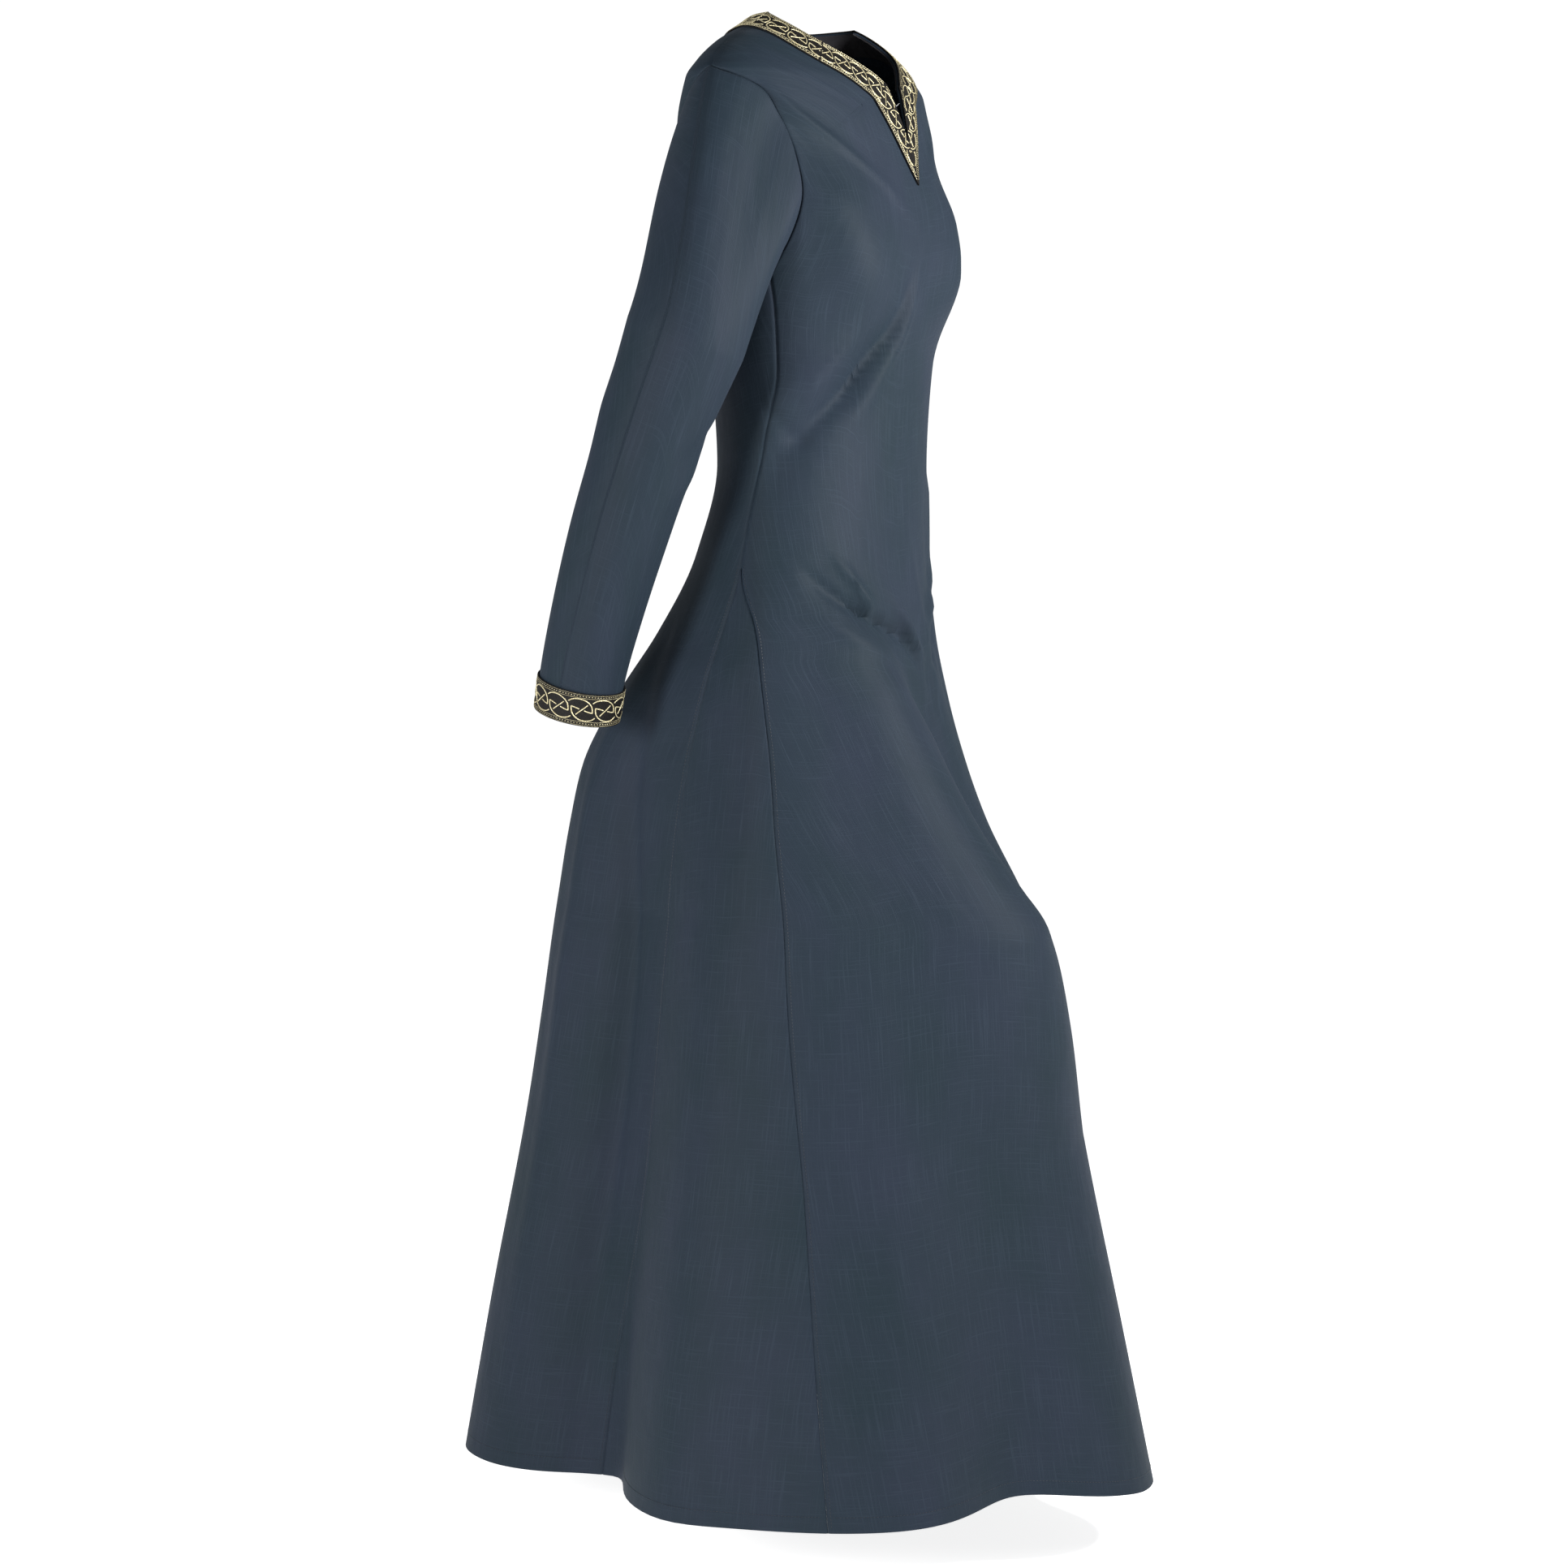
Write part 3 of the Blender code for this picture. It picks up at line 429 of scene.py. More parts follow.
def smooth_read(places, values, at):
    """A smooth curve through values at rising places, with no overshoot, read at given places."""
    places = np.asarray(places, float)
    values = np.asarray(values, float)
    at = np.clip(np.asarray(at, float), places[0], places[-1])
    step = np.diff(places)
    slope = np.diff(values) / step
    tangent = np.zeros_like(values)
    tangent[0] = slope[0]
    tangent[-1] = slope[-1]
    same_way = slope[:-1] * slope[1:] > 0
    w1 = 2 * step[1:] + step[:-1]
    w2 = step[1:] + 2 * step[:-1]
    inner = np.zeros_like(slope[1:])
    inner[same_way] = ((w1 + w2)[same_way]
                       / (w1[same_way] / slope[:-1][same_way] + w2[same_way] / slope[1:][same_way]))
    tangent[1:-1] = inner
    k = np.clip(np.searchsorted(places, at, side="right") - 1, 0, len(step) - 1)
    s = (at - places[k]) / step[k]
    return ((1 + 2 * s) * (1 - s) ** 2 * values[k] + s * (1 - s) ** 2 * step[k] * tangent[k]
            + s * s * (3 - 2 * s) * values[k + 1] + s * s * (s - 1) * step[k] * tangent[k + 1])


def column(table, index):
    """One column of a table whose rows fall in height, turned so that the heights rise."""
    return [row[index] for row in reversed(table)]


def ridge_lines(table):
    """The rows of a table of ridges, grouped by name."""
    names = dict.fromkeys(row[0] for row in table)
    return [[row[1:] for row in table if row[0] == name] for name in names]


BODY_RIDGES = ridge_lines(FOLDS + CREASES)


def fold_rise(turn, height, half):
    """How far the cloth stands out at a turn and a height, from all the folds together."""
    rise = np.zeros_like(turn)
    for points in BODY_RIDGES:
        strongest = np.zeros_like(turn)
        for (turn_a, height_a, width_a, rise_a), (turn_b, height_b, width_b, rise_b) in zip(
                points[:-1], points[1:]):
            across = np.radians((turn - turn_a + 180) % 360 - 180) * half
            run = math.radians((turn_b - turn_a + 180) % 360 - 180) * half
            fall = height_b - height_a
            along = (across * run + (height - height_a) * fall) / (run ** 2 + fall ** 2)
            along = np.clip(along, 0, 1)
            off = (across - along * run) ** 2 + (height - height_a - along * fall) ** 2
            width = width_a + (width_b - width_a) * along
            here = (rise_a + (rise_b - rise_a) * along) * np.exp(-off / width ** 2)
            strongest = np.where(np.abs(here) > np.abs(strongest), here, strongest)
        rise = rise + strongest
    return rise


def hem_lift(turn, height):
    """How far the cloth is lifted near the hem."""
    share = np.clip((-0.8 - height) / 0.64, 0, 1.2) ** 2
    lift = np.zeros_like(turn)
    for _, middle, spread, amount in HEM_LIFTS:
        lift = lift + amount * np.exp(-(((turn - middle + 180) % 360 - 180) / spread) ** 2)
    return share * lift


def neck_shift(turn, height):
    """How far the cloth is worn round to the wearer's left in front of the neck, in degrees."""
    share = np.clip((height - NECK_SHIFT_HEIGHTS[0]) / (NECK_SHIFT_HEIGHTS[1] - NECK_SHIFT_HEIGHTS[0]), 0, 1)
    return NECK_SHIFT * share * share * (3 - 2 * share) * np.clip(np.cos(np.radians(turn)), 0, 1) ** 2


def plain_point(turn, height):
    """Points of the body form before the cloth is worn round, where the pieces are laid out."""
    turn, height = np.broadcast_arrays(np.asarray(turn, float), np.asarray(height, float))
    heights = column(FORM, 0)
    half, front, side, back, twist = (
        smooth_read(heights, column(FORM, i), height) for i in range(1, 6))
    angle = np.radians(turn)
    depth = np.where(np.cos(angle) > 0, side - front, back - side)
    x = half * np.sin(angle)
    y = side - depth * np.cos(angle)
    out_x = np.sin(angle) / half
    out_y = -np.cos(angle) / depth
    size = np.hypot(out_x, out_y)
    rise = fold_rise(turn, height, half)
    x = x + rise * out_x / size
    y = y + rise * out_y / size
    spin = np.radians(twist)
    z = height + hem_lift(turn, height)
    return np.stack([x * np.cos(spin) - y * np.sin(spin), x * np.sin(spin) + y * np.cos(spin), z], -1)


def form_point(turn, height):
    """Points of the body form at the given turns and heights."""
    return plain_point(turn + neck_shift(turn, height), height)


def form_normal(turn, height, point_at=form_point):
    """The direction out of the cloth at the given turns and heights."""
    turn, height = np.broadcast_arrays(np.asarray(turn, float), np.asarray(height, float))
    top = np.minimum(height + 0.002, 0.0)
    around = point_at(turn + 0.5, height) - point_at(turn - 0.5, height)
    upward = point_at(turn, top) - point_at(turn, top - 0.004)
    normal = np.cross(around, upward)
    return normal / np.linalg.norm(normal, axis=-1, keepdims=True)


def natural_read(places, values, at):
    """A round curve through values, for outlines, by Catmull-Rom pieces."""
    padded = np.concatenate([[2 * values[0] - values[1]], values, [2 * values[-1] - values[-2]]])
    k = np.clip(np.floor(at).astype(int), 0, len(values) - 2)
    s = at - places[k]
    a, b, c, d = padded[k], padded[k + 1], padded[k + 2], padded[k + 3]
    return 0.5 * (2 * b + (c - a) * s + (2 * a - 5 * b + 4 * c - d) * s * s
                  + (3 * b - a - 3 * c + d) * s ** 3)


def path_read(path, share):
    """The turn and height at a share of the way along a path on the form, measured in metres."""
    turns = np.array([p[0] for p in path], float)
    heights = np.array([p[1] for p in path], float)
    fine = np.linspace(0, len(path) - 1, 25 * (len(path) - 1) + 1)
    index = np.arange(len(path))
    fine_turn = natural_read(index, turns, fine)
    fine_height = natural_read(index, heights, fine)
    points = plain_point(fine_turn, fine_height)
    length = np.concatenate([[0], np.cumsum(np.linalg.norm(np.diff(points, axis=0), axis=1))])
    length /= length[-1]
    return np.interp(share, length, fine_turn), np.interp(share, length, fine_height)


def step_across(turn, height, tangent, distance, steps=8):
    """Walk over the form at right angles to tangents, by a distance, and give where it ends."""
    turn = np.array(turn, float)
    height = np.array(height, float)
    for _ in range(steps):
        ahead = np.cross(tangent, form_normal(turn, height, plain_point))
        ahead /= np.linalg.norm(ahead, axis=-1, keepdims=True)
        around = plain_point(turn + 0.5, height) - plain_point(turn - 0.5, height)
        top = np.minimum(height + 0.002, 0.0)
        upward = (plain_point(turn, top) - plain_point(turn, top - 0.004)) / 0.004
        aa = np.sum(around * around, -1)
        au = np.sum(around * upward, -1)
        uu = np.sum(upward * upward, -1)
        pa = np.sum(around * ahead, -1)
        pu = np.sum(upward * ahead, -1)
        scale = distance / steps / (aa * uu - au * au)
        turn = turn + (pa * uu - pu * au) * scale
        height = height + (pu * aa - pa * au) * scale
    return turn, height


def unit(vectors):
    """Vectors of length one."""
    return vectors / np.linalg.norm(vectors, axis=-1, keepdims=True)


def low_heights():
    """The heights of the panels' rows from the hem to the underarm, with one at the gore's top."""
    below = round(LOW_ROWS * (GORE_TOP - HEM) / (UNDERARM - HEM))
    return np.concatenate([np.linspace(HEM, GORE_TOP, below + 1)[:-1],
                           np.linspace(GORE_TOP, UNDERARM, LOW_ROWS - below + 1)])


def seam_turn(height, which):
    """The turn of a seam at a height: which is 1 in front of the gore and 2 behind it."""
    return smooth_read(column(SEAMS, 0), column(SEAMS, which), height)


def seam_shares(start, end, steps):
    """Shares of the way from start to end in each row: even steps, then close ones at the seam."""
    width = np.linalg.norm(end - start, axis=-1)[:, None]
    close = 1 - np.array(SEAM_STEPS)[None] / np.maximum(width, 0.02)
    even = np.linspace(0, 1, steps - len(SEAM_STEPS) + 2)[None, :-1]
    return np.concatenate([even * (close[:, :1] - 0.004), close], axis=1)


def seam_roll(columns, both=False):
    """How far each column of a row is rolled inwards, near one end of the row or near both."""
    roll = np.zeros(columns)
    depths = SEAM_ROLL * np.exp(-(np.array(SEAM_STEPS) / ROLL_REACH) ** 2)
    roll[-len(depths):] = depths
    if both:
        roll[:len(depths)] = depths[::-1]
    return roll


def spread_rows(middle, band, side):
    """Rows of a half panel: a band of even width along its inner edge, then on to its side."""
    near = np.linspace(0, 1, BAND_STEPS + 1)[None, :, None]
    far = seam_shares(plain_point(*band.T), plain_point(*side.T), PANEL_STEPS)[:, 1:, None]
    first = middle[:, None] * (1 - near) + band[:, None] * near
    rest = band[:, None] * (1 - far) + side[:, None] * far
    return np.concatenate([first, rest], axis=1)


def front_half():
    """Turns and heights of half the front panel, from the middle or the neck out to the side."""
    low = low_heights()
    plain_rows = ARM_ROWS - SLIT_ROWS - NECK_ROWS
    middle = [(0.0, h) for h in low]
    middle += [(0.0, h) for h in np.linspace(UNDERARM, SLIT_END, plain_rows + 1)[1:]]
    for share in np.linspace(0, 1, SLIT_ROWS + 1)[1:]:
        middle.append((NECK_CORNER[0] * share, SLIT_END + (NECK_CORNER[1] - SLIT_END) * share))
    turns, heights = path_read(NECK_FRONT, np.linspace(0, 1, NECK_ROWS + 1)[1:])
    middle = np.array(middle + list(zip(turns, heights)))
    turns, heights = path_read(ARMHOLE_FRONT, np.linspace(0, 1, ARM_ROWS + 1)[1:])
    side = np.array(list(zip(seam_turn(low, 1), low)) + list(zip(turns, heights)))
    corner = len(middle) - 1 - NECK_ROWS
    edge = plain_point(middle[:, 0], middle[:, 1])
    tangent = np.empty_like(edge)
    tangent[1:-1] = edge[2:] - edge[:-2]
    tangent[0] = edge[1] - edge[0]
    tangent[-1] = edge[-1] - edge[-2]
    low_side = unit(edge[corner] - edge[corner - 1])
    high_side = unit(edge[corner + 1] - edge[corner])
    tangent[corner] = low_side + high_side
    half_turn = 0.5 * math.acos(float(np.clip(low_side @ high_side, -1, 1)))
    reach = np.full(len(middle), RIBBON_WIDTH)
    reach[corner] = RIBBON_WIDTH / math.cos(half_turn)
    band = np.stack(step_across(middle[:, 0], middle[:, 1], unit(tangent), reach), -1)
    band[-1, 0] = SIDE_TURN
    return spread_rows(middle, band, side), corner


def back_half(shoulder):
    """Turns and heights of half the back panel, from the middle or the neck out to the side. Its
    last row is the shoulder seam, which it shares with the front panel."""
    low = low_heights()
    plain_rows = ARM_ROWS - NECK_ROWS
    middle = [(180.0, h) for h in low]
    middle += [(180.0, h) for h in np.linspace(UNDERARM, BACK_NECK, plain_rows + 1)[1:]]
    turns, heights = path_read(NECK_BACK, np.linspace(0, 1, NECK_ROWS + 1)[1:])
    middle = np.array(middle + list(zip(turns, heights)))
    turns, heights = path_read(ARMHOLE_BACK, np.linspace(0, 1, ARM_ROWS + 1)[1:])
    side = np.array(list(zip(seam_turn(low, 2), low)) + list(zip(turns, heights)))
    share = seam_shares(plain_point(*middle.T), plain_point(*side.T), BAND_STEPS + PANEL_STEPS)[..., None]
    half = middle[:, None] * (1 - share) + side[:, None] * share
    half[-1] = shoulder
    return half, len(middle) - 1 - NECK_ROWS


def grid_triangles(index, turned=False):
    """Two triangles for each cell of a grid of point numbers, or cut across the other way."""
    a, b = index[:-1, :-1].ravel(), index[:-1, 1:].ravel()
    c, d = index[1:, 1:].ravel(), index[1:, :-1].ravel()
    if turned:
        return np.concatenate([np.stack([a, b, d], -1), np.stack([b, c, d], -1)])
    return np.concatenate([np.stack([a, b, c], -1), np.stack([a, c, d], -1)])


def mesh_object(name, points, triangles, material, cut=None, smooth_angle=50):
    """An object from points and triangles, with the cloth's own coordinates in its cut attribute."""
    mesh = bpy.data.meshes.new(name)
    mesh.from_pydata(points.tolist(), [], triangles.tolist())
    if cut is not None:
        attribute = mesh.attributes.new("cut", "FLOAT_VECTOR", "POINT")
        attribute.data.foreach_set("vector", np.asarray(cut, np.float32).ravel())
    shaped = bmesh.new()
    shaped.from_mesh(mesh)
    bmesh.ops.delete(shaped, geom=[v for v in shaped.verts if not v.link_faces], context="VERTS")
    if shaped.calc_volume(signed=True) < 0:
        bmesh.ops.reverse_faces(shaped, faces=shaped.faces)
    shaped.to_mesh(mesh)
    shaped.free()
    mesh.materials.append(material)
    thing = bpy.data.objects.new(name, mesh)
    bpy.context.scene.collection.objects.link(thing)
    mesh.shade_smooth()
    mesh.set_sharp_from_angle(angle=math.radians(smooth_angle))
    return thing


def wall(name, outer, inner, triangles, material, cut):
    """A closed wall between an outer and an inner sheet that share the same triangles."""
    count = len(outer)
    edges = {}
    for a, b, c in triangles.tolist():
        for edge in ((a, b), (b, c), (c, a)):
            edges[edge] = True
    rim = [(a, b) for a, b in edges if (b, a) not in edges]
    sides = [(b, a, a + count) for a, b in rim] + [(b, a + count, b + count) for a, b in rim]
    faces = np.concatenate([triangles, triangles[:, ::-1] + count, np.array(sides, int)])
    cut3 = np.zeros((count, 3))
    cut3[:, :2] = cut
    return mesh_object(name, np.concatenate([outer, inner]), faces, material,
                       np.concatenate([cut3, cut3]))


def draw_back(points, towards, distance):
    """Edge points moved towards their neighbours, to open half of a seam's gap."""
    return points + distance * unit(towards - points)


def cut_places(points, level_row):
    """Coordinates in metres on the cloth: across it from the first column, and along it."""
    across = np.zeros(points.shape[:2])
    across[:, 1:] = np.cumsum(np.linalg.norm(np.diff(points, axis=1), axis=-1), axis=1)
    along = np.zeros(points.shape[:2])
    along[1:] = np.cumsum(np.linalg.norm(np.diff(points, axis=0), axis=-1), axis=0)
    return np.stack([across, along - along[level_row:level_row + 1] * 0], -1)


def declare(piece, node):
    width, length, area = CUTS[piece.name]
    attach(piece, "root")
    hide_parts(node)


def node_link(tree, kind, place, **values):
    """A shader node at a place, with input values by name."""
    node = tree.nodes.new(kind)
    node.location = place
    for key, value in values.items():
        if key in node.inputs:
            node.inputs[key].default_value = value
    return node


def streaks(tree, source, across, along, place, detail=2.0):
    """Noise drawn out along or across the cloth: its scale across and along, per metre."""
    mapping = node_link(tree, "ShaderNodeMapping", place)
    mapping.inputs["Scale"].default_value = (across, along, 1.0)
    tree.links.new(source, mapping.inputs["Vector"])
    noise = node_link(tree, "ShaderNodeTexNoise", (place[0] + 200, place[1]), Scale=1.0, Detail=detail,
                      Roughness=0.55)
    tree.links.new(mapping.outputs["Vector"], noise.inputs["Vector"])
    return noise.outputs["Fac"]


def mix_colour(tree, factor, colour_a, colour_b, place):
    """A mix of two colours, or of a colour and a socket, by a factor."""
    mix = tree.nodes.new("ShaderNodeMix")
    mix.data_type = "RGBA"
    mix.location = place
    tree.links.new(factor, mix.inputs["Factor"])
    for socket, value in (("A", colour_a), ("B", colour_b)):
        target = [s for s in mix.inputs if s.name == socket and s.type == "RGBA"][0]
        if isinstance(value, tuple):
            target.default_value = (*value, 1.0)
        else:
            tree.links.new(value, target)
    return [s for s in mix.outputs if s.type == "RGBA"][0]


def ramp(tree, factor, low, high, place):
    """A factor stretched so that low becomes 0 and high becomes 1."""
    stretch = node_link(tree, "ShaderNodeMapRange", place)
    stretch.inputs["From Min"].default_value = low
    stretch.inputs["From Max"].default_value = high
    tree.links.new(factor, stretch.inputs["Value"])
    return stretch.outputs["Result"]


def bump(tree, height, strength, distance, place, normal=None):
    """A bump from a height."""
    node = node_link(tree, "ShaderNodeBump", place, Strength=strength, Distance=distance)
    tree.links.new(height, node.inputs["Height"])
    if normal is not None:
        tree.links.new(normal, node.inputs["Normal"])
    return node.outputs["Normal"]


def new_material(name, colour):
    """A material with its tree and shader."""
    material = bpy.data.materials.new(name)
    material.use_nodes = True
    material.diffuse_color = (*colour, 1.0)
    tree = material.node_tree
    shader = tree.nodes["Principled BSDF"]
    shader.inputs["Base Color"].default_value = (*colour, 1.0)
    return material, tree, shader


def gown_cloth_material():
    """Dark slate cloth with a fine slubby weave and a soft sheen."""
    material, tree, shader = new_material("gown_cloth", (0.015, 0.022, 0.034))
    places = node_link(tree, "ShaderNodeAttribute", (-1700, 0))
    places.attribute_name = "cut"
    where = places.outputs["Vector"]
    mottle = ramp(tree, streaks(tree, where, 9.0, 5.0, (-1500, 500), 3.0), 0.35, 0.68, (-1050, 500))
    warp_slub = ramp(tree, streaks(tree, where, 620.0, 14.0, (-1500, 250)), 0.52, 0.78, (-1050, 250))
    weft_slub = ramp(tree, streaks(tree, where, 16.0, 640.0, (-1500, 0)), 0.55, 0.80, (-1050, 0))
    threads = streaks(tree, where, 1500.0, 1500.0, (-1500, -250), 1.0)
    base = mix_colour(tree, mottle, (0.0090, 0.0175, 0.0255), (0.0130, 0.0195, 0.0325), (-800, 400))
    lifted = tree.nodes.new("ShaderNodeMath")
    lifted.operation = "MAXIMUM"
    lifted.location = (-800, 150)
    tree.links.new(warp_slub, lifted.inputs[0])
    tree.links.new(weft_slub, lifted.inputs[1])
    faint = tree.nodes.new("ShaderNodeMath")
    faint.operation = "MULTIPLY"
    faint.location = (-650, 150)
    faint.inputs[1].default_value = 0.30
    tree.links.new(lifted.outputs[0], faint.inputs[0])
    colour = mix_colour(tree, faint.outputs[0], base, (0.031, 0.046, 0.066), (-480, 300))
    tree.links.new(colour, shader.inputs["Base Color"])
    ripple = streaks(tree, where, 26.0, 15.0, (-1500, -500), 2.0)
    normal = bump(tree, ripple, 0.45, 0.004, (-700, -500))
    normal = bump(tree, threads, 0.18, 0.0004, (-480, -250), normal)
    normal = bump(tree, lifted.outputs[0], 0.25, 0.0004, (-260, -200), normal)
    tree.links.new(normal, shader.inputs["Normal"])
    shader.inputs["Roughness"].default_value = 0.68
    shader.inputs["Specular IOR Level"].default_value = 0.15
    shader.inputs["Sheen Weight"].default_value = 0.04
    shader.inputs["Sheen Roughness"].default_value = 0.45
    shader.inputs["Sheen Tint"].default_value = (0.62, 0.74, 0.92, 1.0)
    return material


def ribbon_material():
    """The ribbon's black woven ground."""
    material, tree, shader = new_material("ribbon_ground", (0.010, 0.009, 0.009))
    places = node_link(tree, "ShaderNodeAttribute", (-1300, 0))
    places.attribute_name = "cut"
    ribs = streaks(tree, places.outputs["Vector"], 1400.0, 420.0, (-1100, 100), 1.0)
    tint = ramp(tree, ribs, 0.35, 0.70, (-650, 150))
    colour = mix_colour(tree, tint, (0.003, 0.003, 0.003), (0.012, 0.010, 0.009), (-420, 150))
    tree.links.new(colour, shader.inputs["Base Color"])
    tree.links.new(bump(tree, ribs, 0.3, 0.0003, (-420, -150)), shader.inputs["Normal"])
    shader.inputs["Roughness"].default_value = 0.6
    shader.inputs["Specular IOR Level"].default_value = 0.15
    return material


def thread_material():
    """Gold and cream thread of the interlace."""
    material, tree, shader = new_material("gold_thread", (0.60, 0.52, 0.27))
    places = node_link(tree, "ShaderNodeTexCoord", (-1300, 0))
    glints = node_link(tree, "ShaderNodeTexNoise", (-1000, 100), Scale=900.0, Detail=2.0)
    tree.links.new(places.outputs["Object"], glints.inputs["Vector"])
    shade = ramp(tree, glints.outputs["Fac"], 0.35, 0.66, (-700, 100))
    colour = mix_colour(tree, shade, (0.37, 0.30, 0.14), (0.72, 0.67, 0.45), (-450, 100))
    tree.links.new(colour, shader.inputs["Base Color"])
    tree.links.new(bump(tree, glints.outputs["Fac"], 0.35, 0.0002, (-450, -150)), shader.inputs["Normal"])
    shader.inputs["Roughness"].default_value = 0.42
    shader.inputs["Metallic"].default_value = 0.25
    return material


def facing_material():
    """The near-black facing inside the neck."""
    material, tree, shader = new_material("facing_cloth", (0.010, 0.009, 0.011))
    places = node_link(tree, "ShaderNodeAttribute", (-1100, 0))
    places.attribute_name = "cut"
    threads = streaks(tree, places.outputs["Vector"], 1300.0, 1300.0, (-900, 0), 1.0)
    colour = mix_colour(tree, threads, (0.006, 0.005, 0.007), (0.016, 0.014, 0.018), (-450, 100))
    tree.links.new(colour, shader.inputs["Base Color"])
    tree.links.new(bump(tree, threads, 0.2, 0.0003, (-450, -150)), shader.inputs["Normal"])
    shader.inputs["Roughness"].default_value = 0.85
    return material


def sewing_thread_material():
    """Sewing thread in the cloth's colour, a little darker."""
    material, _, shader = new_material("sewing_thread", (0.010, 0.013, 0.019))
    shader.inputs["Roughness"].default_value = 0.6
    return material


def panel(name, half, split_row, material):
    """A front or back panel from one half's turns and heights, mirrored in its turns."""
    rows, columns = half.shape[:2]
    outers, inners, cuts = [], [], []
    for sign in (-1, 1):
        turn = sign * half[..., 0]
        outer = form_point(turn, half[..., 1])
        normal = form_normal(turn, half[..., 1])
        places = cut_places(outer, 0)
        places[..., 0] *= sign
        outer[:, -1] = draw_back(outer[:, -1], outer[:, -2], CLOSE_GAP / 2)
        outer[-1, :] = draw_back(outer[-1, :], outer[-2, :], CLOSE_GAP / 2)
        roll = np.repeat(seam_roll(columns)[None], rows, axis=0)
        roll[-1, :] = SEAM_ROLL
        outers.append(outer - roll[..., None] * normal)
        inners.append(outer - CLOTH * normal)
        cuts.append(places)
    numbers = np.arange(rows * columns).reshape(rows, columns)
    other = numbers + rows * columns
    other[:split_row + 1, 0] = numbers[:split_row + 1, 0]
    triangles = np.concatenate([grid_triangles(numbers)[:, ::-1], grid_triangles(other)])
    outer = np.concatenate([o.reshape(-1, 3) for o in outers])
    inner = np.concatenate([i.reshape(-1, 3) for i in inners])
    return wall(name, outer, inner, triangles, material, np.concatenate([c.reshape(-1, 2) for c in cuts]))


def gore(name, sign, material):
    """A side gore between the front and back panels, from the hem up to its point."""
    low = low_heights()
    heights = np.concatenate([low[low < GORE_TOP - 0.004], [GORE_TOP - GORE_TIP]])
    start = seam_turn(heights, 1)
    end = seam_turn(heights, 2)
    width = np.linalg.norm(form_point(sign * end, heights) - form_point(sign * start, heights), axis=-1)
    close = np.minimum(np.array(SEAM_STEPS)[None] / width[:, None], np.array((0.3, 0.2, 0.1, 0.0))[None])
    even = np.linspace(0, 1, GORE_STEPS - 2 * len(SEAM_STEPS) + 3)[None, 1:-1]
    share = np.concatenate([close[:, ::-1], close[:, :1] + even * (1 - 2 * close[:, :1]), 1 - close], axis=1)
    turn = sign * (start[:, None] * (1 - share) + end[:, None] * share)
    height = np.repeat(heights[:, None], share.shape[1], axis=1)
    outer = form_point(turn, height)
    normal = form_normal(turn, height)
    places = cut_places(outer, 0)
    places[..., 0] -= places[..., -1:, 0] / 2
    outer[:, 0], outer[:, -1] = (draw_back(outer[:, 0], outer[:, 1], CLOSE_GAP / 2),
                                 draw_back(outer[:, -1], outer[:, -2], CLOSE_GAP / 2))
    roll = np.repeat(seam_roll(turn.shape[1], both=True)[None], len(turn), axis=0)
    numbers = np.arange(turn.size).reshape(turn.shape)
    return wall(name, (outer - roll[..., None] * normal).reshape(-1, 3),
                (outer - CLOTH * normal).reshape(-1, 3), grid_triangles(numbers), material,
                places.reshape(-1, 2))


def neck_strip(front, corner, back_steps):
    """The band along the neck edge as turns and heights, from the right of the slit, round the
    back, to the left of the slit. Its front part has the front panel's own rows."""
    turns, heights = path_read(NECK_BACK, np.linspace(0, 1, back_steps + 1))
    tangent = unit(np.gradient(plain_point(turns, heights), axis=0))
    far = np.stack(step_across(turns, heights, -tangent, RIBBON_WIDTH), -1)
    far[0] = (180.0, BACK_NECK - RIBBON_WIDTH)
    far[-1] = front[-1, BAND_STEPS]
    behind = np.stack([turns, heights], -1)
    share = np.linspace(0, 1, BAND_STEPS + 1)[None, :, None]
    behind = (behind[:, None] * (1 - share) + far[:, None] * share)[::-1]
    half = np.concatenate([front[corner:, :BAND_STEPS + 1], behind[1:]])
    return np.concatenate([half * (-1, 1), half[::-1][1:]])


def neck_band(name, strip, low_out, thick, material):
    """A band that follows the neck edge: the ribbon outside the panels, or the facing inside."""
    low_out = np.broadcast_to(low_out, strip.shape[1])[None, :, None]
    turn, height = strip[..., 0], strip[..., 1]
    points = form_point(turn, height)
    normal = form_normal(turn, height)
    places = cut_places(points, 0)
    points[0] = draw_back(points[0], points[1], SEAM_GAP)
    points[-1] = draw_back(points[-1], points[-2], SEAM_GAP)
    numbers = np.arange(turn.size).reshape(turn.shape)
    middle = len(strip) // 2
    triangles = np.concatenate([grid_triangles(numbers[:middle + 1]),
                                grid_triangles(numbers[middle:], turned=True)])
    return wall(name, (points + (low_out + thick) * normal).reshape(-1, 3),
                (points + low_out * normal).reshape(-1, 3), triangles, material, places.reshape(-1, 2))


SLIT_TRIM_STEPS = 36


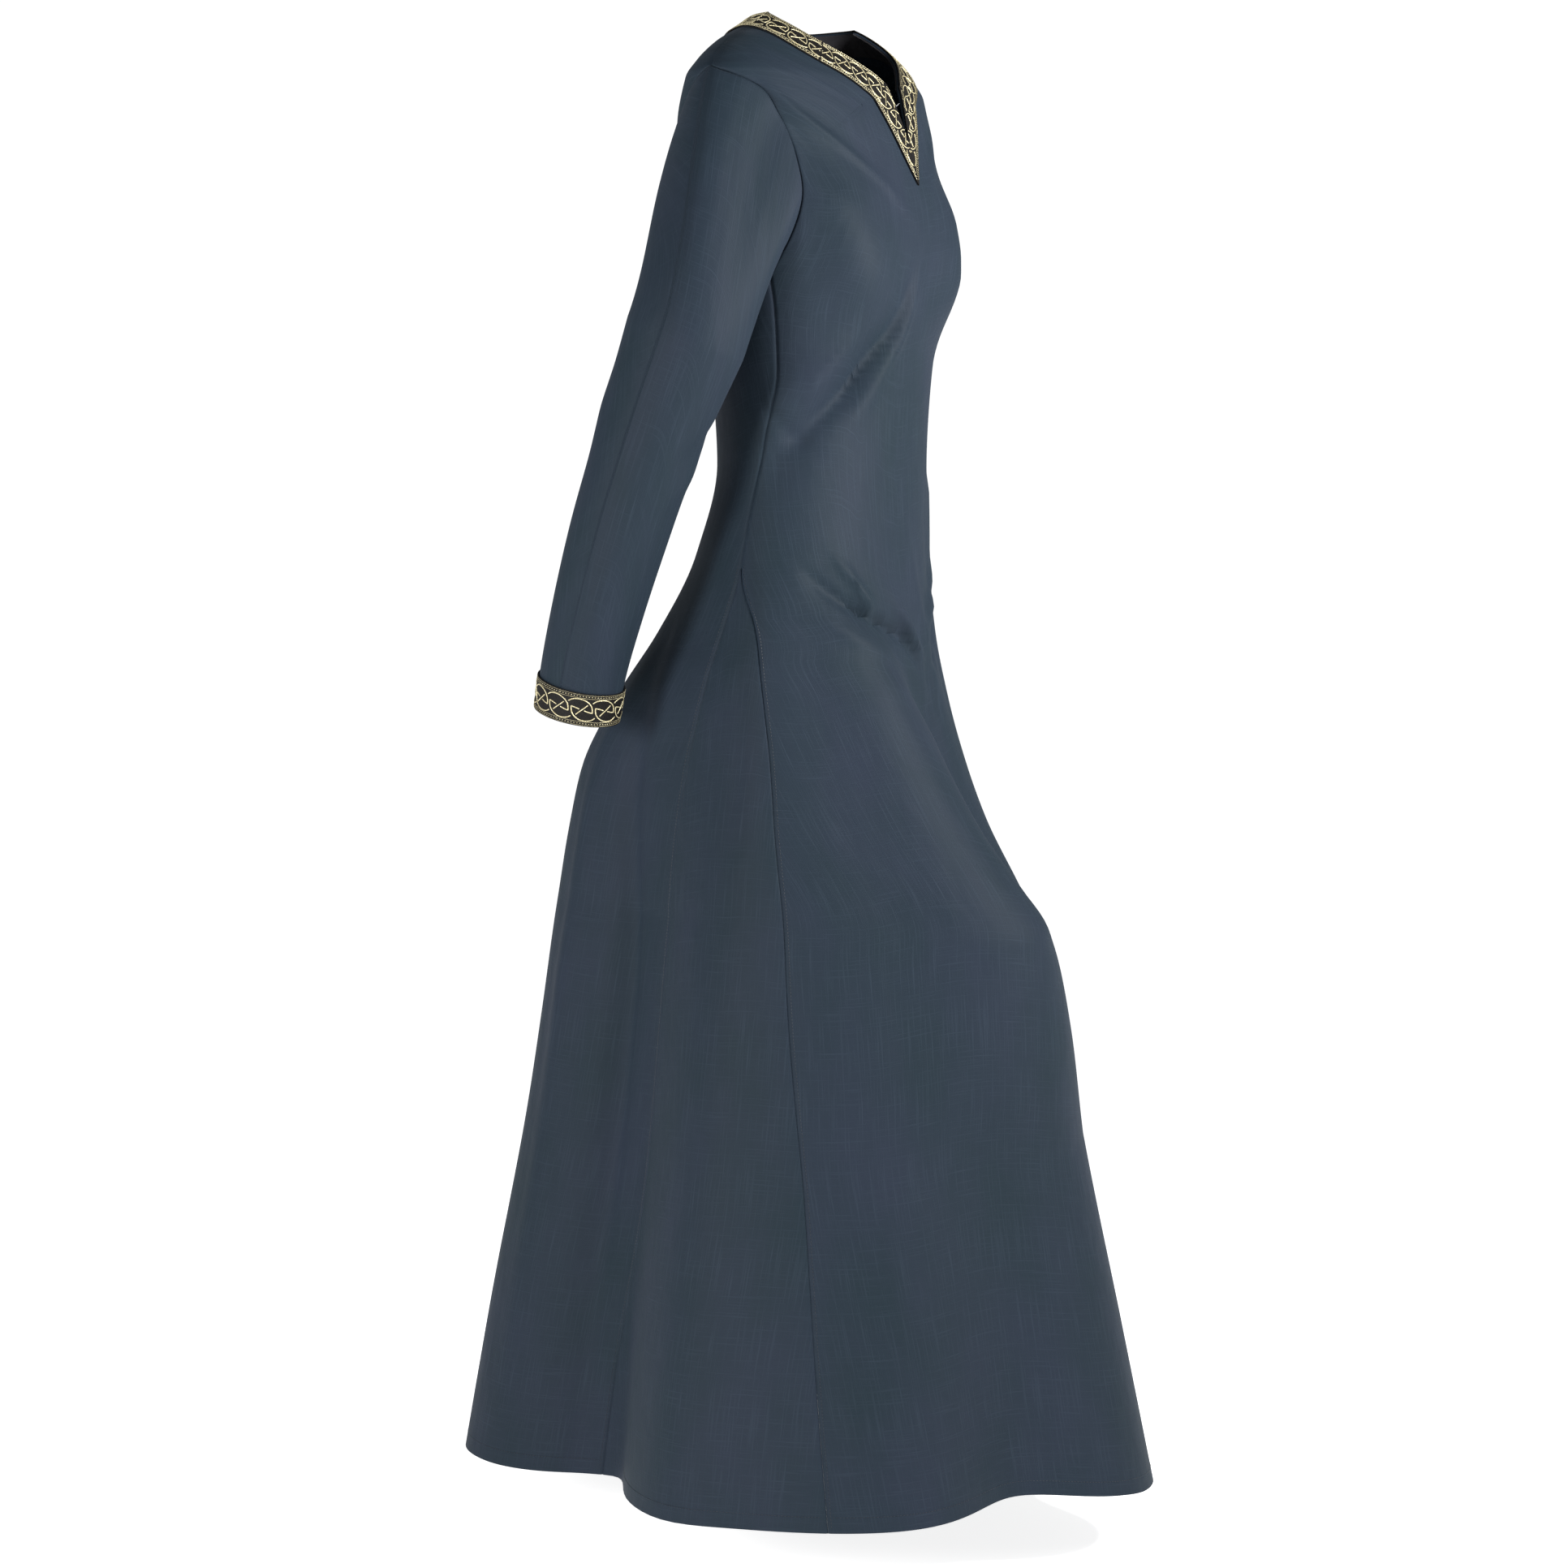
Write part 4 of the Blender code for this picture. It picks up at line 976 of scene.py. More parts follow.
def slit_ribbon(name, front, corner, sign, material):
    """The ribbon beside the slit, from its mitre at the neck's corner down to its point."""
    top_inner = front[corner, 0]
    top_outer = front[corner, BAND_STEPS]
    inner_path = np.array([top_inner, (0.0, SLIT_END), (0.0, RIBBON_POINT + 0.004)])
    share = np.linspace(0, 1, SLIT_TRIM_STEPS + 1)
    bend = 0.55
    inner = np.array([[np.interp(s, (0, bend, 1), inner_path[:, 0]),
                       np.interp(s, (0, bend, 1), inner_path[:, 1])] for s in share])
    outer = top_outer[None] * (1 - share[:, None]) + np.array((0.0, RIBBON_POINT)) * share[:, None]
    across = np.linspace(0, 1, BAND_STEPS + 1)
    grid = inner[:, None] * (1 - across[None, :, None]) + outer[:, None] * across[None, :, None]
    turn, height = sign * grid[..., 0], grid[..., 1]
    points = form_point(turn, height)
    normal = form_normal(turn, height)
    places = cut_places(points, 0)
    points[..., 0] += sign * SEAM_GAP / 2
    numbers = np.arange(turn.size).reshape(turn.shape)
    return wall(name, (points + (RIBBON_LIFT + RIBBON_THICK) * normal).reshape(-1, 3),
                (points + RIBBON_LIFT * normal).reshape(-1, 3), grid_triangles(numbers, turned=True),
                material, places.reshape(-1, 2))


def armhole_loop(front, back, sign):
    """The armhole's points, from the shoulder down the front and up the back, and the way the
    cloth leaves each of them."""
    start = len(front) - 1 - ARM_ROWS
    reach = PANEL_STEPS // 8 + len(SEAM_STEPS) - 1
    ring = np.concatenate([front[start:, -1][::-1], back[start:, -1][1:-1]])
    inside = np.concatenate([front[start:, -1 - reach][::-1], back[start:, -1 - reach][1:-1]])
    edge = form_point(sign * ring[:, 0], ring[:, 1])
    leave = unit(edge - form_point(sign * inside[:, 0], inside[:, 1]))
    return edge, leave


def sleeve_frame(sign, share):
    """Middle, side and fore directions and radii of the sleeve at shares of its arm stretch."""
    table = np.array(SLEEVE)
    table[:, 0] *= -sign
    if sign > 0:
        table[:, 0] += LEFT_ARM_OUT
    places = np.arange(len(table), dtype=float)
    at = np.atleast_1d(share) * (len(table) - 1)
    read = np.stack([natural_read(places, table[:, i], at) for i in range(5)], -1)
    ahead = np.stack([natural_read(places, table[:, i], at + 0.01) for i in range(3)], -1)
    along = unit(ahead - read[:, :3])
    side = np.array([sign, 0.0, 0.0]) - along * (along @ np.array([sign, 0.0, 0.0]))[:, None]
    side = unit(side)
    fore = np.cross(along, side) * sign
    return read[:, :3], along, side, fore, read[:, 3], read[:, 4]


def sleeve_points(front, back, sign):
    """The sleeve's outer points: rings from the armhole over the cap and down to the cuff."""
    edge, leave = armhole_loop(front, back, sign)
    count = len(edge)
    angle = 2 * math.pi * np.arange(count) / count
    turned = angle - math.radians(UNDERARM_LEAD) * (0.5 - 0.5 * np.cos(angle))
    share = np.linspace(0, 1, SLEEVE_ARM_RINGS + 1)
    middle, along, side, fore, wide, deep = sleeve_frame(sign, share)
    arm = (middle[:, None] + side[:, None] * (wide[:, None] * np.cos(turned))[..., None]
           + fore[:, None] * (deep[:, None] * np.sin(turned))[..., None])
    top = 0.5 + 0.5 * np.cos(angle)[:, None]
    behind = np.clip(-np.sin(angle), 0, 1)[:, None]
    clear = np.clip((edge[:, 2:] - UNDERARM) / ARMPIT_SPREAD, 0, 1) ** 2
    outward = np.array([sign, 0.0, -0.35])
    leave = unit(leave * clear + outward * (1 - 0.75 * clear))
    for _ in range(LEAVE_EVENINGS):
        leave = unit(0.5 * leave + 0.25 * np.roll(leave, 1, axis=0) + 0.25 * np.roll(leave, -1, axis=0))
    start_pull = leave * (ARMPIT_PULL + (CAP_REACH - ARMPIT_PULL) * top + CAP_BACK * behind)
    end_pull = along[0] * (ARMPIT_PULL + (CAP_DROP - ARMPIT_PULL) * top + CAP_BACK * behind)
    edge = edge + CLOSE_GAP / 2 * leave
    swell = CAP_SWELL * behind * np.array([0.0, 6.75, 0.0])
    near = np.array(SEAM_STEPS[::-1][1:]) / CAP_LENGTH
    rings = []
    for s in np.concatenate([[0.0], near, np.linspace(0.04, 1, SLEEVE_CAP_RINGS + 1)[:-1]]):
        rings.append((1 + 2 * s) * (1 - s) ** 2 * edge + s * (1 - s) ** 2 * start_pull
                     + s * s * (3 - 2 * s) * arm[0] + s * s * (s - 1) * end_pull
                     + s * (1 - s) ** 2 * swell)
    return np.concatenate([np.array(rings), arm]), np.degrees(turned)


def ring_normals(rings, sign):
    """The direction out of a tube at each of its ring points."""
    around = np.roll(rings, -1, axis=1) - np.roll(rings, 1, axis=1)
    along = np.gradient(rings, axis=0)
    return unit(np.cross(around, along) * sign)


def sleeve_rise(rings, angles):
    """How far the sleeve's creases stand out at each ring point."""
    length = np.concatenate([[0], np.cumsum(np.linalg.norm(
        np.diff(rings.mean(axis=1), axis=0), axis=1))])
    share = (length / length[-1])[:, None]
    total = length[-1]
    radius = 0.045
    rise = np.zeros(rings.shape[:2])
    for points in ridge_lines(SLEEVE_CREASES):
        strongest = np.zeros_like(rise)
        for (angle_a, share_a, width_a, rise_a), (angle_b, share_b, width_b, rise_b) in zip(
                points[:-1], points[1:]):
            across = np.radians((angles[None] - angle_a + 180) % 360 - 180) * radius
            run = math.radians(angle_b - angle_a) * radius
            down = (share - share_a) * total
            fall = (share_b - share_a) * total
            along = np.clip((across * run + down * fall) / (run ** 2 + fall ** 2), 0, 1)
            off = (across - along * run) ** 2 + (down - along * fall) ** 2
            width = width_a + (width_b - width_a) * along
            here = (rise_a + (rise_b - rise_a) * along) * np.exp(-off / width ** 2)
            strongest = np.where(np.abs(here) > np.abs(strongest), here, strongest)
        rise += strongest
    fade = np.clip(share / 0.08, 0, 1) * np.clip((1 - share) / 0.10, 0, 1)
    return rise * fade


def sleeve(name, rings, sign, material):
    """A sleeve as a thin wall around its hollow, open at the armhole and the cuff."""
    normal = ring_normals(rings, sign)
    rows, columns = rings.shape[:2]
    numbers = np.arange(rows * (columns + 1)).reshape(rows, columns + 1)
    ways = np.concatenate([normal, normal[:, :1]], axis=1)
    points = np.concatenate([rings, rings[:, :1]], axis=1)
    places = cut_places(points, 0)
    roll = np.zeros((rows, 1, 1))
    roll[:len(SEAM_STEPS), 0, 0] = seam_roll(len(SEAM_STEPS))[::-1]
    numbers[:, -1] = numbers[:, 0]
    return wall(name, (points - roll * ways).reshape(-1, 3), (points - CLOTH * ways).reshape(-1, 3),
                grid_triangles(numbers), material, places.reshape(-1, 2))


def cuff_band(rings, sign, steps):
    """Points and outward ways of the cuff's last stretch, one ribbon width long, from its upper
    edge to its lower."""
    normal = ring_normals(rings, sign)
    reach = np.linalg.norm(rings[-1].mean(axis=0) - rings.mean(axis=1), axis=1)
    order = np.argsort(reach)
    wanted = np.linspace(RIBBON_WIDTH, 0.0005, steps + 1)
    points = np.empty((len(wanted),) + rings.shape[1:])
    ways = np.empty_like(points)
    for j in range(rings.shape[1]):
        for axis in range(3):
            points[:, j, axis] = np.interp(wanted, reach[order], rings[order, j, axis])
            ways[:, j, axis] = np.interp(wanted, reach[order], normal[order, j, axis])
    return points, unit(ways)


def cuff_ribbon(name, band, material):
    """The ribbon around the sleeve's end."""
    points, ways = band
    rows, columns = points.shape[:2]
    places = cut_places(np.concatenate([points, points[:, :1]], axis=1), 0)
    numbers = np.arange(rows * (columns + 1)).reshape(rows, columns + 1)
    closed = np.concatenate([points, points[:, :1]], axis=1)
    closed_ways = np.concatenate([ways, ways[:, :1]], axis=1)
    numbers[:, -1] = numbers[:, 0]
    return wall(name, (closed + (RIBBON_LIFT + RIBBON_THICK) * closed_ways).reshape(-1, 3),
                (closed + RIBBON_LIFT * closed_ways).reshape(-1, 3), grid_triangles(numbers), material,
                places.reshape(-1, 2))


def stitch_row(turns, heights):
    """Points and faces of a row of stitches along a path over the form."""
    points = form_point(turns, heights)
    run = np.concatenate([[0], np.cumsum(np.linalg.norm(np.diff(points, axis=0), axis=1))])
    centres = np.arange(STITCH_REPEAT, run[-1] - STITCH_REPEAT, STITCH_REPEAT)

    def read(shift):
        at = centres + shift
        return np.interp(at, run, turns), np.interp(at, run, heights)

    back_end, front_end = form_point(*read(-STITCH_LENGTH / 2)), form_point(*read(STITCH_LENGTH / 2))
    normal = form_normal(*read(0.0))
    side = unit(np.cross(front_end - back_end, normal)) * STITCH_WIDTH / 2
    corners = [back_end]
    for share in (0.28, 0.72):
        middle = back_end * (1 - share) + front_end * share
        corners += [middle + side, middle + normal * STITCH_WIDTH * 0.6, middle - side,
                    middle - normal * STITCH_WIDTH * 0.3]
    corners.append(front_end)
    shape = [(0, 1 + i, 1 + (i + 1) % 4) for i in range(4)]
    shape += [(1 + i, 5 + i, 5 + (i + 1) % 4) for i in range(4)]
    shape += [(1 + i, 5 + (i + 1) % 4, 1 + (i + 1) % 4) for i in range(4)]
    shape += [(9, 5 + (i + 1) % 4, 5 + i) for i in range(4)]
    faces = np.array(shape)[None] + 10 * np.arange(len(centres))[:, None, None]
    return np.stack(corners, axis=1).reshape(-1, 3), faces.reshape(-1, 3)


def beside_seam(sign, which, outward):
    """A path beside a gore's seam, from near its top down to the hem: outward is 1 towards the
    back and -1 towards the front."""
    heights = np.linspace(GORE_TOP + 0.004, HEM + 0.003, 300)
    turns = seam_turn(heights, which)
    around = np.linalg.norm(form_point(sign * (turns + 0.5), heights)
                            - form_point(sign * (turns - 0.5), heights), axis=-1)
    return sign * (turns + outward * STITCH_FROM_SEAM / around), heights


def along_hem(start, end):
    """A path a little above the hem between two turns."""
    turns = np.linspace(start, end, 300)
    return turns, np.full(300, HEM + STITCH_FROM_HEM)


def sewing(name, paths, material):
    """One object of rows of stitches."""
    points, faces, count = [], [], 0
    for turns, heights in paths:
        row_points, row_faces = stitch_row(turns, heights)
        points.append(row_points)
        faces.append(row_faces + count)
        count += len(row_points)
    thing = mesh_object(name, np.concatenate(points), np.concatenate(faces), material, smooth_angle=80)
    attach(thing, "root")
    return thing


def rounded(points, corner=None, step=0.0007):
    """A smooth line of short steps through points, with a sharp turn at the corner's number."""
    points = np.array(points, float)
    if corner is None:
        stretches = [points]
    else:
        stretches = [points[:corner + 1], points[corner:]]
    line = []
    for stretch in stretches:
        places = np.arange(len(stretch), dtype=float)
        reach = float(np.sum(np.linalg.norm(np.diff(stretch, axis=0), axis=1)))
        at = np.linspace(0, len(stretch) - 1, max(2, round(reach / step)) + 1)
        part = np.stack([natural_read(places, stretch[:, i], at) for i in range(2)], -1)
        line.append(part if not line else part[1:])
    return np.concatenate(line)


def strand_lines(start, end, phase):
    """The interlace's strands between two places along a ribbon, as lines of (along, across)."""
    loop = rounded(LOOP_STRAND, corner=8)
    crossing = rounded(CROSSING_STRAND)
    lines = []
    first = math.floor((start - phase) / REPEAT) - 1
    last = math.ceil((end - phase) / REPEAT) + 1
    for k in range(first, last + 1):
        middle = np.array([phase + k * REPEAT, 0.0])
        lines += [loop + middle, -loop + middle, crossing + middle]
    return lines


def border_lines(start, end, step=0.0015):
    """The borders' lines and dashes between two places along a ribbon, each with its width."""
    found = []
    run = np.arange(start, end + step, step)
    for side in (-1, 1):
        for from_edge, width in BORDER_LINES:
            across = side * (RIBBON_WIDTH / 2 - from_edge)
            found.append((np.stack([run, np.full(len(run), across)], -1), width))
        across = side * (RIBBON_WIDTH / 2 - DASH_FROM_EDGE)
        for place in np.arange(start, end, DASH_REPEAT):
            dash = np.linspace(place, place + DASH_LENGTH, 3)
            found.append((np.stack([dash, np.full(len(dash), across)], -1), DASH_WIDTH))
    return found


def clip_line(line, inside):
    """The stretches of a line whose points are inside."""
    keep = inside(line)
    stretches, current = [], []
    for point, good in zip(line, keep):
        if good:
            current.append(point)
        else:
            stretches.append(current)
            current = []
    stretches.append(current)
    return [np.array(s) for s in stretches if len(s) > 1]


def raised_strand(line, width, height, place_on):
    """Points and faces of a low rounded strand along a line on a ribbon."""
    ahead = unit(np.gradient(line, axis=0))
    side = np.stack([-ahead[:, 1], ahead[:, 0]], -1)
    profile = ((-0.5, -0.15), (-0.42, 0.55), (-0.15, 1.0), (0.15, 1.0), (0.42, 0.55), (0.5, -0.15))
    rows = []
    for across, lift in profile:
        rows.append(place_on(line + side * across * width, lift * height))
    points = np.stack(rows, axis=1)
    count, around = points.shape[:2]
    numbers = np.arange(count * around).reshape(count, around)
    closed = np.concatenate([numbers, numbers[:, :1]], axis=1)
    faces = [grid_triangles(closed)]
    fan = np.array([(0, i, i + 1) for i in range(1, around - 1)])
    faces.append(fan[:, ::-1])
    faces.append(fan + numbers[-1, 0])
    return points.reshape(-1, 3), np.concatenate(faces)


def interlace(name, pieces, material):
    """One object of raised strands: pieces are (line, width, height, place_on)."""
    points, faces, count = [], [], 0
    for line, width, height, place_on in pieces:
        strand_points, strand_faces = raised_strand(line, width, height, place_on)
        points.append(strand_points)
        faces.append(strand_faces + count)
        count += len(strand_points)
    thing = mesh_object(name, np.concatenate(points), np.concatenate(faces), material, smooth_angle=70)
    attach(thing, "root")
    return thing


def strip_reader(strip, along, top):
    """A function that places (along, across) on a ribbon whose strip has rows across it. Along
    gives each strip point's place, and across is 0 in the middle, positive to the last column."""
    points = form_point(strip[..., 0], strip[..., 1])
    normal = form_normal(strip[..., 0], strip[..., 1])
    rows, columns = strip.shape[:2]

    def find(line):
        at = np.clip(line[:, 1] / RIBBON_WIDTH + 0.5, 0, 1) * (columns - 1)
        low = np.clip(np.floor(at).astype(int), 0, columns - 2)
        share = at - low
        row_at = np.empty(len(line))
        good = np.empty(len(line), bool)
        for i in range(len(line)):
            places = along[:, low[i]] * (1 - share[i]) + along[:, low[i] + 1] * share[i]
            row_at[i] = np.interp(line[i, 0], places, np.arange(rows))
            good[i] = places[0] + 0.0003 < line[i, 0] < places[-1] - 0.0003
        return row_at, low, share, good

    def place_on(line, lift):
        row_at, low, share, _ = find(line)
        row = np.clip(np.floor(row_at).astype(int), 0, rows - 2)
        down = (row_at - row)[:, None]
        share = share[:, None]

        def read(grid):
            return ((grid[row, low] * (1 - share) + grid[row, low + 1] * share) * (1 - down)
                    + (grid[row + 1, low] * (1 - share) + grid[row + 1, low + 1] * share) * down)

        return read(points) + (top + lift) * unit(read(normal))

    def inside(line):
        return find(line)[3]

    return place_on, inside


def strip_along(strip):
    """Each strip point's place along the ribbon, measured along its middle."""
    points = form_point(strip[..., 0], strip[..., 1])
    middle = points.shape[1] // 2
    run = np.concatenate([[0], np.cumsum(np.linalg.norm(
        np.diff(points[:, middle], axis=0), axis=1))])
    along = np.repeat(run[:, None], points.shape[1], axis=1)
    return along


def neck_pieces(strip):
    """The neck ribbon's strands and borders, with the join in the ribbon on the right front."""
    along = strip_along(strip)
    place_on, inside = strip_reader(strip, along, RIBBON_LIFT + RIBBON_THICK)
    end = float(along[:, BAND_STEPS // 2][-1])
    join = JOIN_FROM_MITRE
    pieces = []
    for start, stop, phase in ((0.0, join - 0.0008, 0.0125), (join + 0.0002, end, join + 0.0045)):
        for line in strand_lines(start, stop, phase):
            for part in clip_line(line, lambda l, a=start, b=stop: inside(l) & (l[:, 0] > a) & (l[:, 0] < b)):
                pieces.append((part, STRAND_WIDTH, STRAND_HEIGHT, place_on))
        for line, width in border_lines(start - 0.02, stop + 0.02):
            for part in clip_line(line, lambda l, a=start, b=stop: inside(l) & (l[:, 0] > a - 0.03)
                                  & (l[:, 0] < b) & ((l[:, 0] > a) | (a == 0.0))):
                pieces.append((part, width, BORDER_HEIGHT, place_on))
    return pieces


JOIN_FROM_MITRE = 0.0830


def slit_pieces(front, corner, sign):
    """The slit ribbons' strands and borders, set out from the outer edge and cut off at the slit,
    the middle and the mitre."""
    top_outer = front[corner, BAND_STEPS]
    top_inner = front[corner, 0]
    tip = np.array((0.0, RIBBON_POINT))
    rows = 40
    share = np.linspace(-0.45, 1.0, rows + 1)
    edge = top_outer[None] * (1 - share[:, None]) + tip[None] * share[:, None]
    edge_points = plain_point(edge[:, 0], edge[:, 1])
    tangent = unit(np.gradient(edge_points, axis=0))
    columns = BAND_STEPS
    grid = np.empty((rows + 1, columns + 1, 2))
    for j in range(columns + 1):
        distance = RIBBON_WIDTH * (columns - j) / columns
        grid[:, j] = np.stack(step_across(edge[:, 0], edge[:, 1], tangent, distance), -1)
    run = np.concatenate([[0], np.cumsum(np.linalg.norm(np.diff(edge_points, axis=0), axis=1))])
    run -= np.interp(0.0, share, run)
    outline = np.array([top_outer, tip, (0.0, RIBBON_POINT + 0.004), (0.0, SLIT_END), top_inner])

    def in_outline(turn, height):
        good = np.zeros(len(turn), bool)
        for a, b in zip(outline, np.roll(outline, -1, axis=0)):
            crosses = (a[1] > height) != (b[1] > height)
            reach = a[0] + (height - a[1]) * (b[0] - a[0]) / np.where(b[1] == a[1], 1e-9, b[1] - a[1])
            good ^= crosses & (turn < reach)
        return good

    def turns_at(line):
        at = np.clip(line[:, 1] / RIBBON_WIDTH + 0.5, 0, 1) * columns
        low = np.clip(np.floor(at).astype(int), 0, columns - 1)
        share_across = (at - low)[:, None]
        row_at = np.interp(line[:, 0], run, np.arange(rows + 1))
        row = np.clip(np.floor(row_at).astype(int), 0, rows - 1)
        down = (row_at - row)[:, None]
        upper = grid[row, low] * (1 - share_across) + grid[row, low + 1] * share_across
        lower = grid[row + 1, low] * (1 - share_across) + grid[row + 1, low + 1] * share_across
        return upper * (1 - down) + lower * down

    def place_on(line, lift):
        found = turns_at(line)
        points = form_point(sign * found[:, 0], found[:, 1])
        points[:, 0] += sign * SEAM_GAP / 2
        normal = form_normal(sign * found[:, 0], found[:, 1])
        return points + (RIBBON_LIFT + RIBBON_THICK + lift) * normal

    def inside(line):
        found = turns_at(line)
        good = in_outline(found[:, 0], found[:, 1])
        return good & in_outline(found[:, 0] - 0.35, found[:, 1] + 0.0002)

    pieces = []
    end = float(run[-1])
    for line in strand_lines(-0.03, end, 0.0065):
        for part in clip_line(line, inside):
            pieces.append((part, STRAND_WIDTH, STRAND_HEIGHT, place_on))
    for line, width in border_lines(-0.03, end):
        for part in clip_line(line, inside):
            pieces.append((part, width, BORDER_HEIGHT, place_on))
    return pieces


def cuff_pieces(band):
    """The cuff ribbon's strands and borders, all round."""
    points, ways = band
    rows, columns = points.shape[:2]
    middle = points[rows // 2]
    gaps = np.linalg.norm(np.roll(middle, -1, axis=0) - middle, axis=1)
    run = np.concatenate([[0], np.cumsum(gaps)])
    round_length = float(run[-1])
    repeats = round(round_length / REPEAT)
    squeeze = round_length / (repeats * REPEAT)

    def place_on(line, lift):
        at = np.clip(0.5 - line[:, 1] / RIBBON_WIDTH, 0, 1) * (rows - 1)
        row = np.clip(np.floor(at).astype(int), 0, rows - 2)
        down = (at - row)[:, None]
        around = np.interp((line[:, 0] * squeeze) % round_length, run, np.arange(columns + 1))
        low = np.floor(around).astype(int) % columns
        high = (low + 1) % columns
        share = (around - np.floor(around))[:, None]

        def read(grid):
            return ((grid[row, low] * (1 - share) + grid[row, high] * share) * (1 - down)
                    + (grid[row + 1, low] * (1 - share) + grid[row + 1, high] * share) * down)

        return read(points) + (RIBBON_LIFT + RIBBON_THICK + lift) * unit(read(ways))

    loop = rounded(LOOP_STRAND, corner=8)
    crossing = rounded(CROSSING_STRAND)
    pieces = []
    for k in range(repeats):
        centre = np.array([k * REPEAT, 0.0])
        for line in (loop, -loop, crossing):
            pieces.append((line + centre, STRAND_WIDTH, STRAND_HEIGHT, place_on))
    for line, width in border_lines(0.0, repeats * REPEAT - 0.0006):
        pieces.append((line, width, BORDER_HEIGHT, place_on))
    return pieces


def camera_and_light():
    """The camera at the photograph's angle, soft light, and a pale floor and backdrop."""
    azimuth = math.radians(-65)
    toward = Vector((math.sin(azimuth), -math.cos(azimuth), 0.0))
    right = Vector((-toward.y, toward.x, 0.0))
    tilt = math.atan(286 / 4500)
    forward = -toward * math.cos(tilt) - Vector((0, 0, math.sin(tilt)))
    up = right.cross(forward)
    camera = bpy.data.cameras.new("camera")
    camera.sensor_width = 36
    camera.lens = 4500 / 1932 * 36
    eye = bpy.data.objects.new("camera", camera)
    bpy.context.scene.collection.objects.link(eye)
    turn = Matrix((right, up, -forward)).transposed().to_4x4()
    eye.matrix_world = Matrix.Translation(toward * 3.7 - right * 0.038 + Vector((0, 0, -0.53))) @ turn
    bpy.context.scene.camera = eye

    def area(name, place, aim, size, power, colour=(1, 1, 1)):
        lamp = bpy.data.lights.new(name, "AREA")
        lamp.shape = "DISK"
        lamp.size = size
        lamp.energy = power
        lamp.color = colour
        holder = bpy.data.objects.new(name, lamp)
        bpy.context.scene.collection.objects.link(holder)
        holder.location = place
        holder.rotation_euler = (Vector(aim) - Vector(place)).to_track_quat("-Z", "Y").to_euler()

    middle = Vector((0, 0, -0.6))
    area("key", toward * 0.75 + right * 1.35 + Vector((0, 0, 0.0)), Vector((0, 0, -0.25)), 0.4, 50)
    area("fill", toward * 2.3 - right * 2.0 + Vector((0, 0, -0.4)), middle, 0.8, 74)

    world = bpy.data.worlds.new("studio")
    world.use_nodes = True
    tree = world.node_tree
    sky = tree.nodes["Background"]
    sky.inputs["Color"].default_value = (1.0, 1.0, 1.0, 1.0)
    backdrop = tree.nodes.new("ShaderNodeBackground")
    backdrop.inputs["Color"].default_value = (1.0, 1.0, 1.0, 1.0)
    backdrop.inputs["Strength"].default_value = 1.05
    sky.inputs["Strength"].default_value = 0.2
    ray = tree.nodes.new("ShaderNodeLightPath")
    mix = tree.nodes.new("ShaderNodeMixShader")
    tree.links.new(ray.outputs["Is Camera Ray"], mix.inputs["Fac"])
    tree.links.new(sky.outputs["Background"], mix.inputs[1])
    tree.links.new(backdrop.outputs["Background"], mix.inputs[2])
    tree.links.new(mix.outputs["Shader"], tree.nodes["World Output"].inputs["Surface"])
    bpy.context.scene.world = world
    bpy.context.scene.view_settings.view_transform = "Standard"

    material, _, shader = new_material("floor", (0.92, 0.92, 0.92))
    shader.inputs["Roughness"].default_value = 0.9
    shader.inputs["Emission Color"].default_value = (1.0, 1.0, 1.0, 1.0)
    shader.inputs["Emission Strength"].default_value = 0.86
    mesh = bpy.data.meshes.new("floor")
    shaped = bmesh.new()
    bmesh.ops.create_grid(shaped, x_segments=1, y_segments=1, size=12.0)
    shaped.to_mesh(mesh)
    shaped.free()
    mesh.materials.append(material)
    floor = bpy.data.objects.new("floor", mesh)
    floor.location = (0, 0, FLOOR)
    bpy.context.scene.collection.objects.link(floor)


FLOOR = -1.52


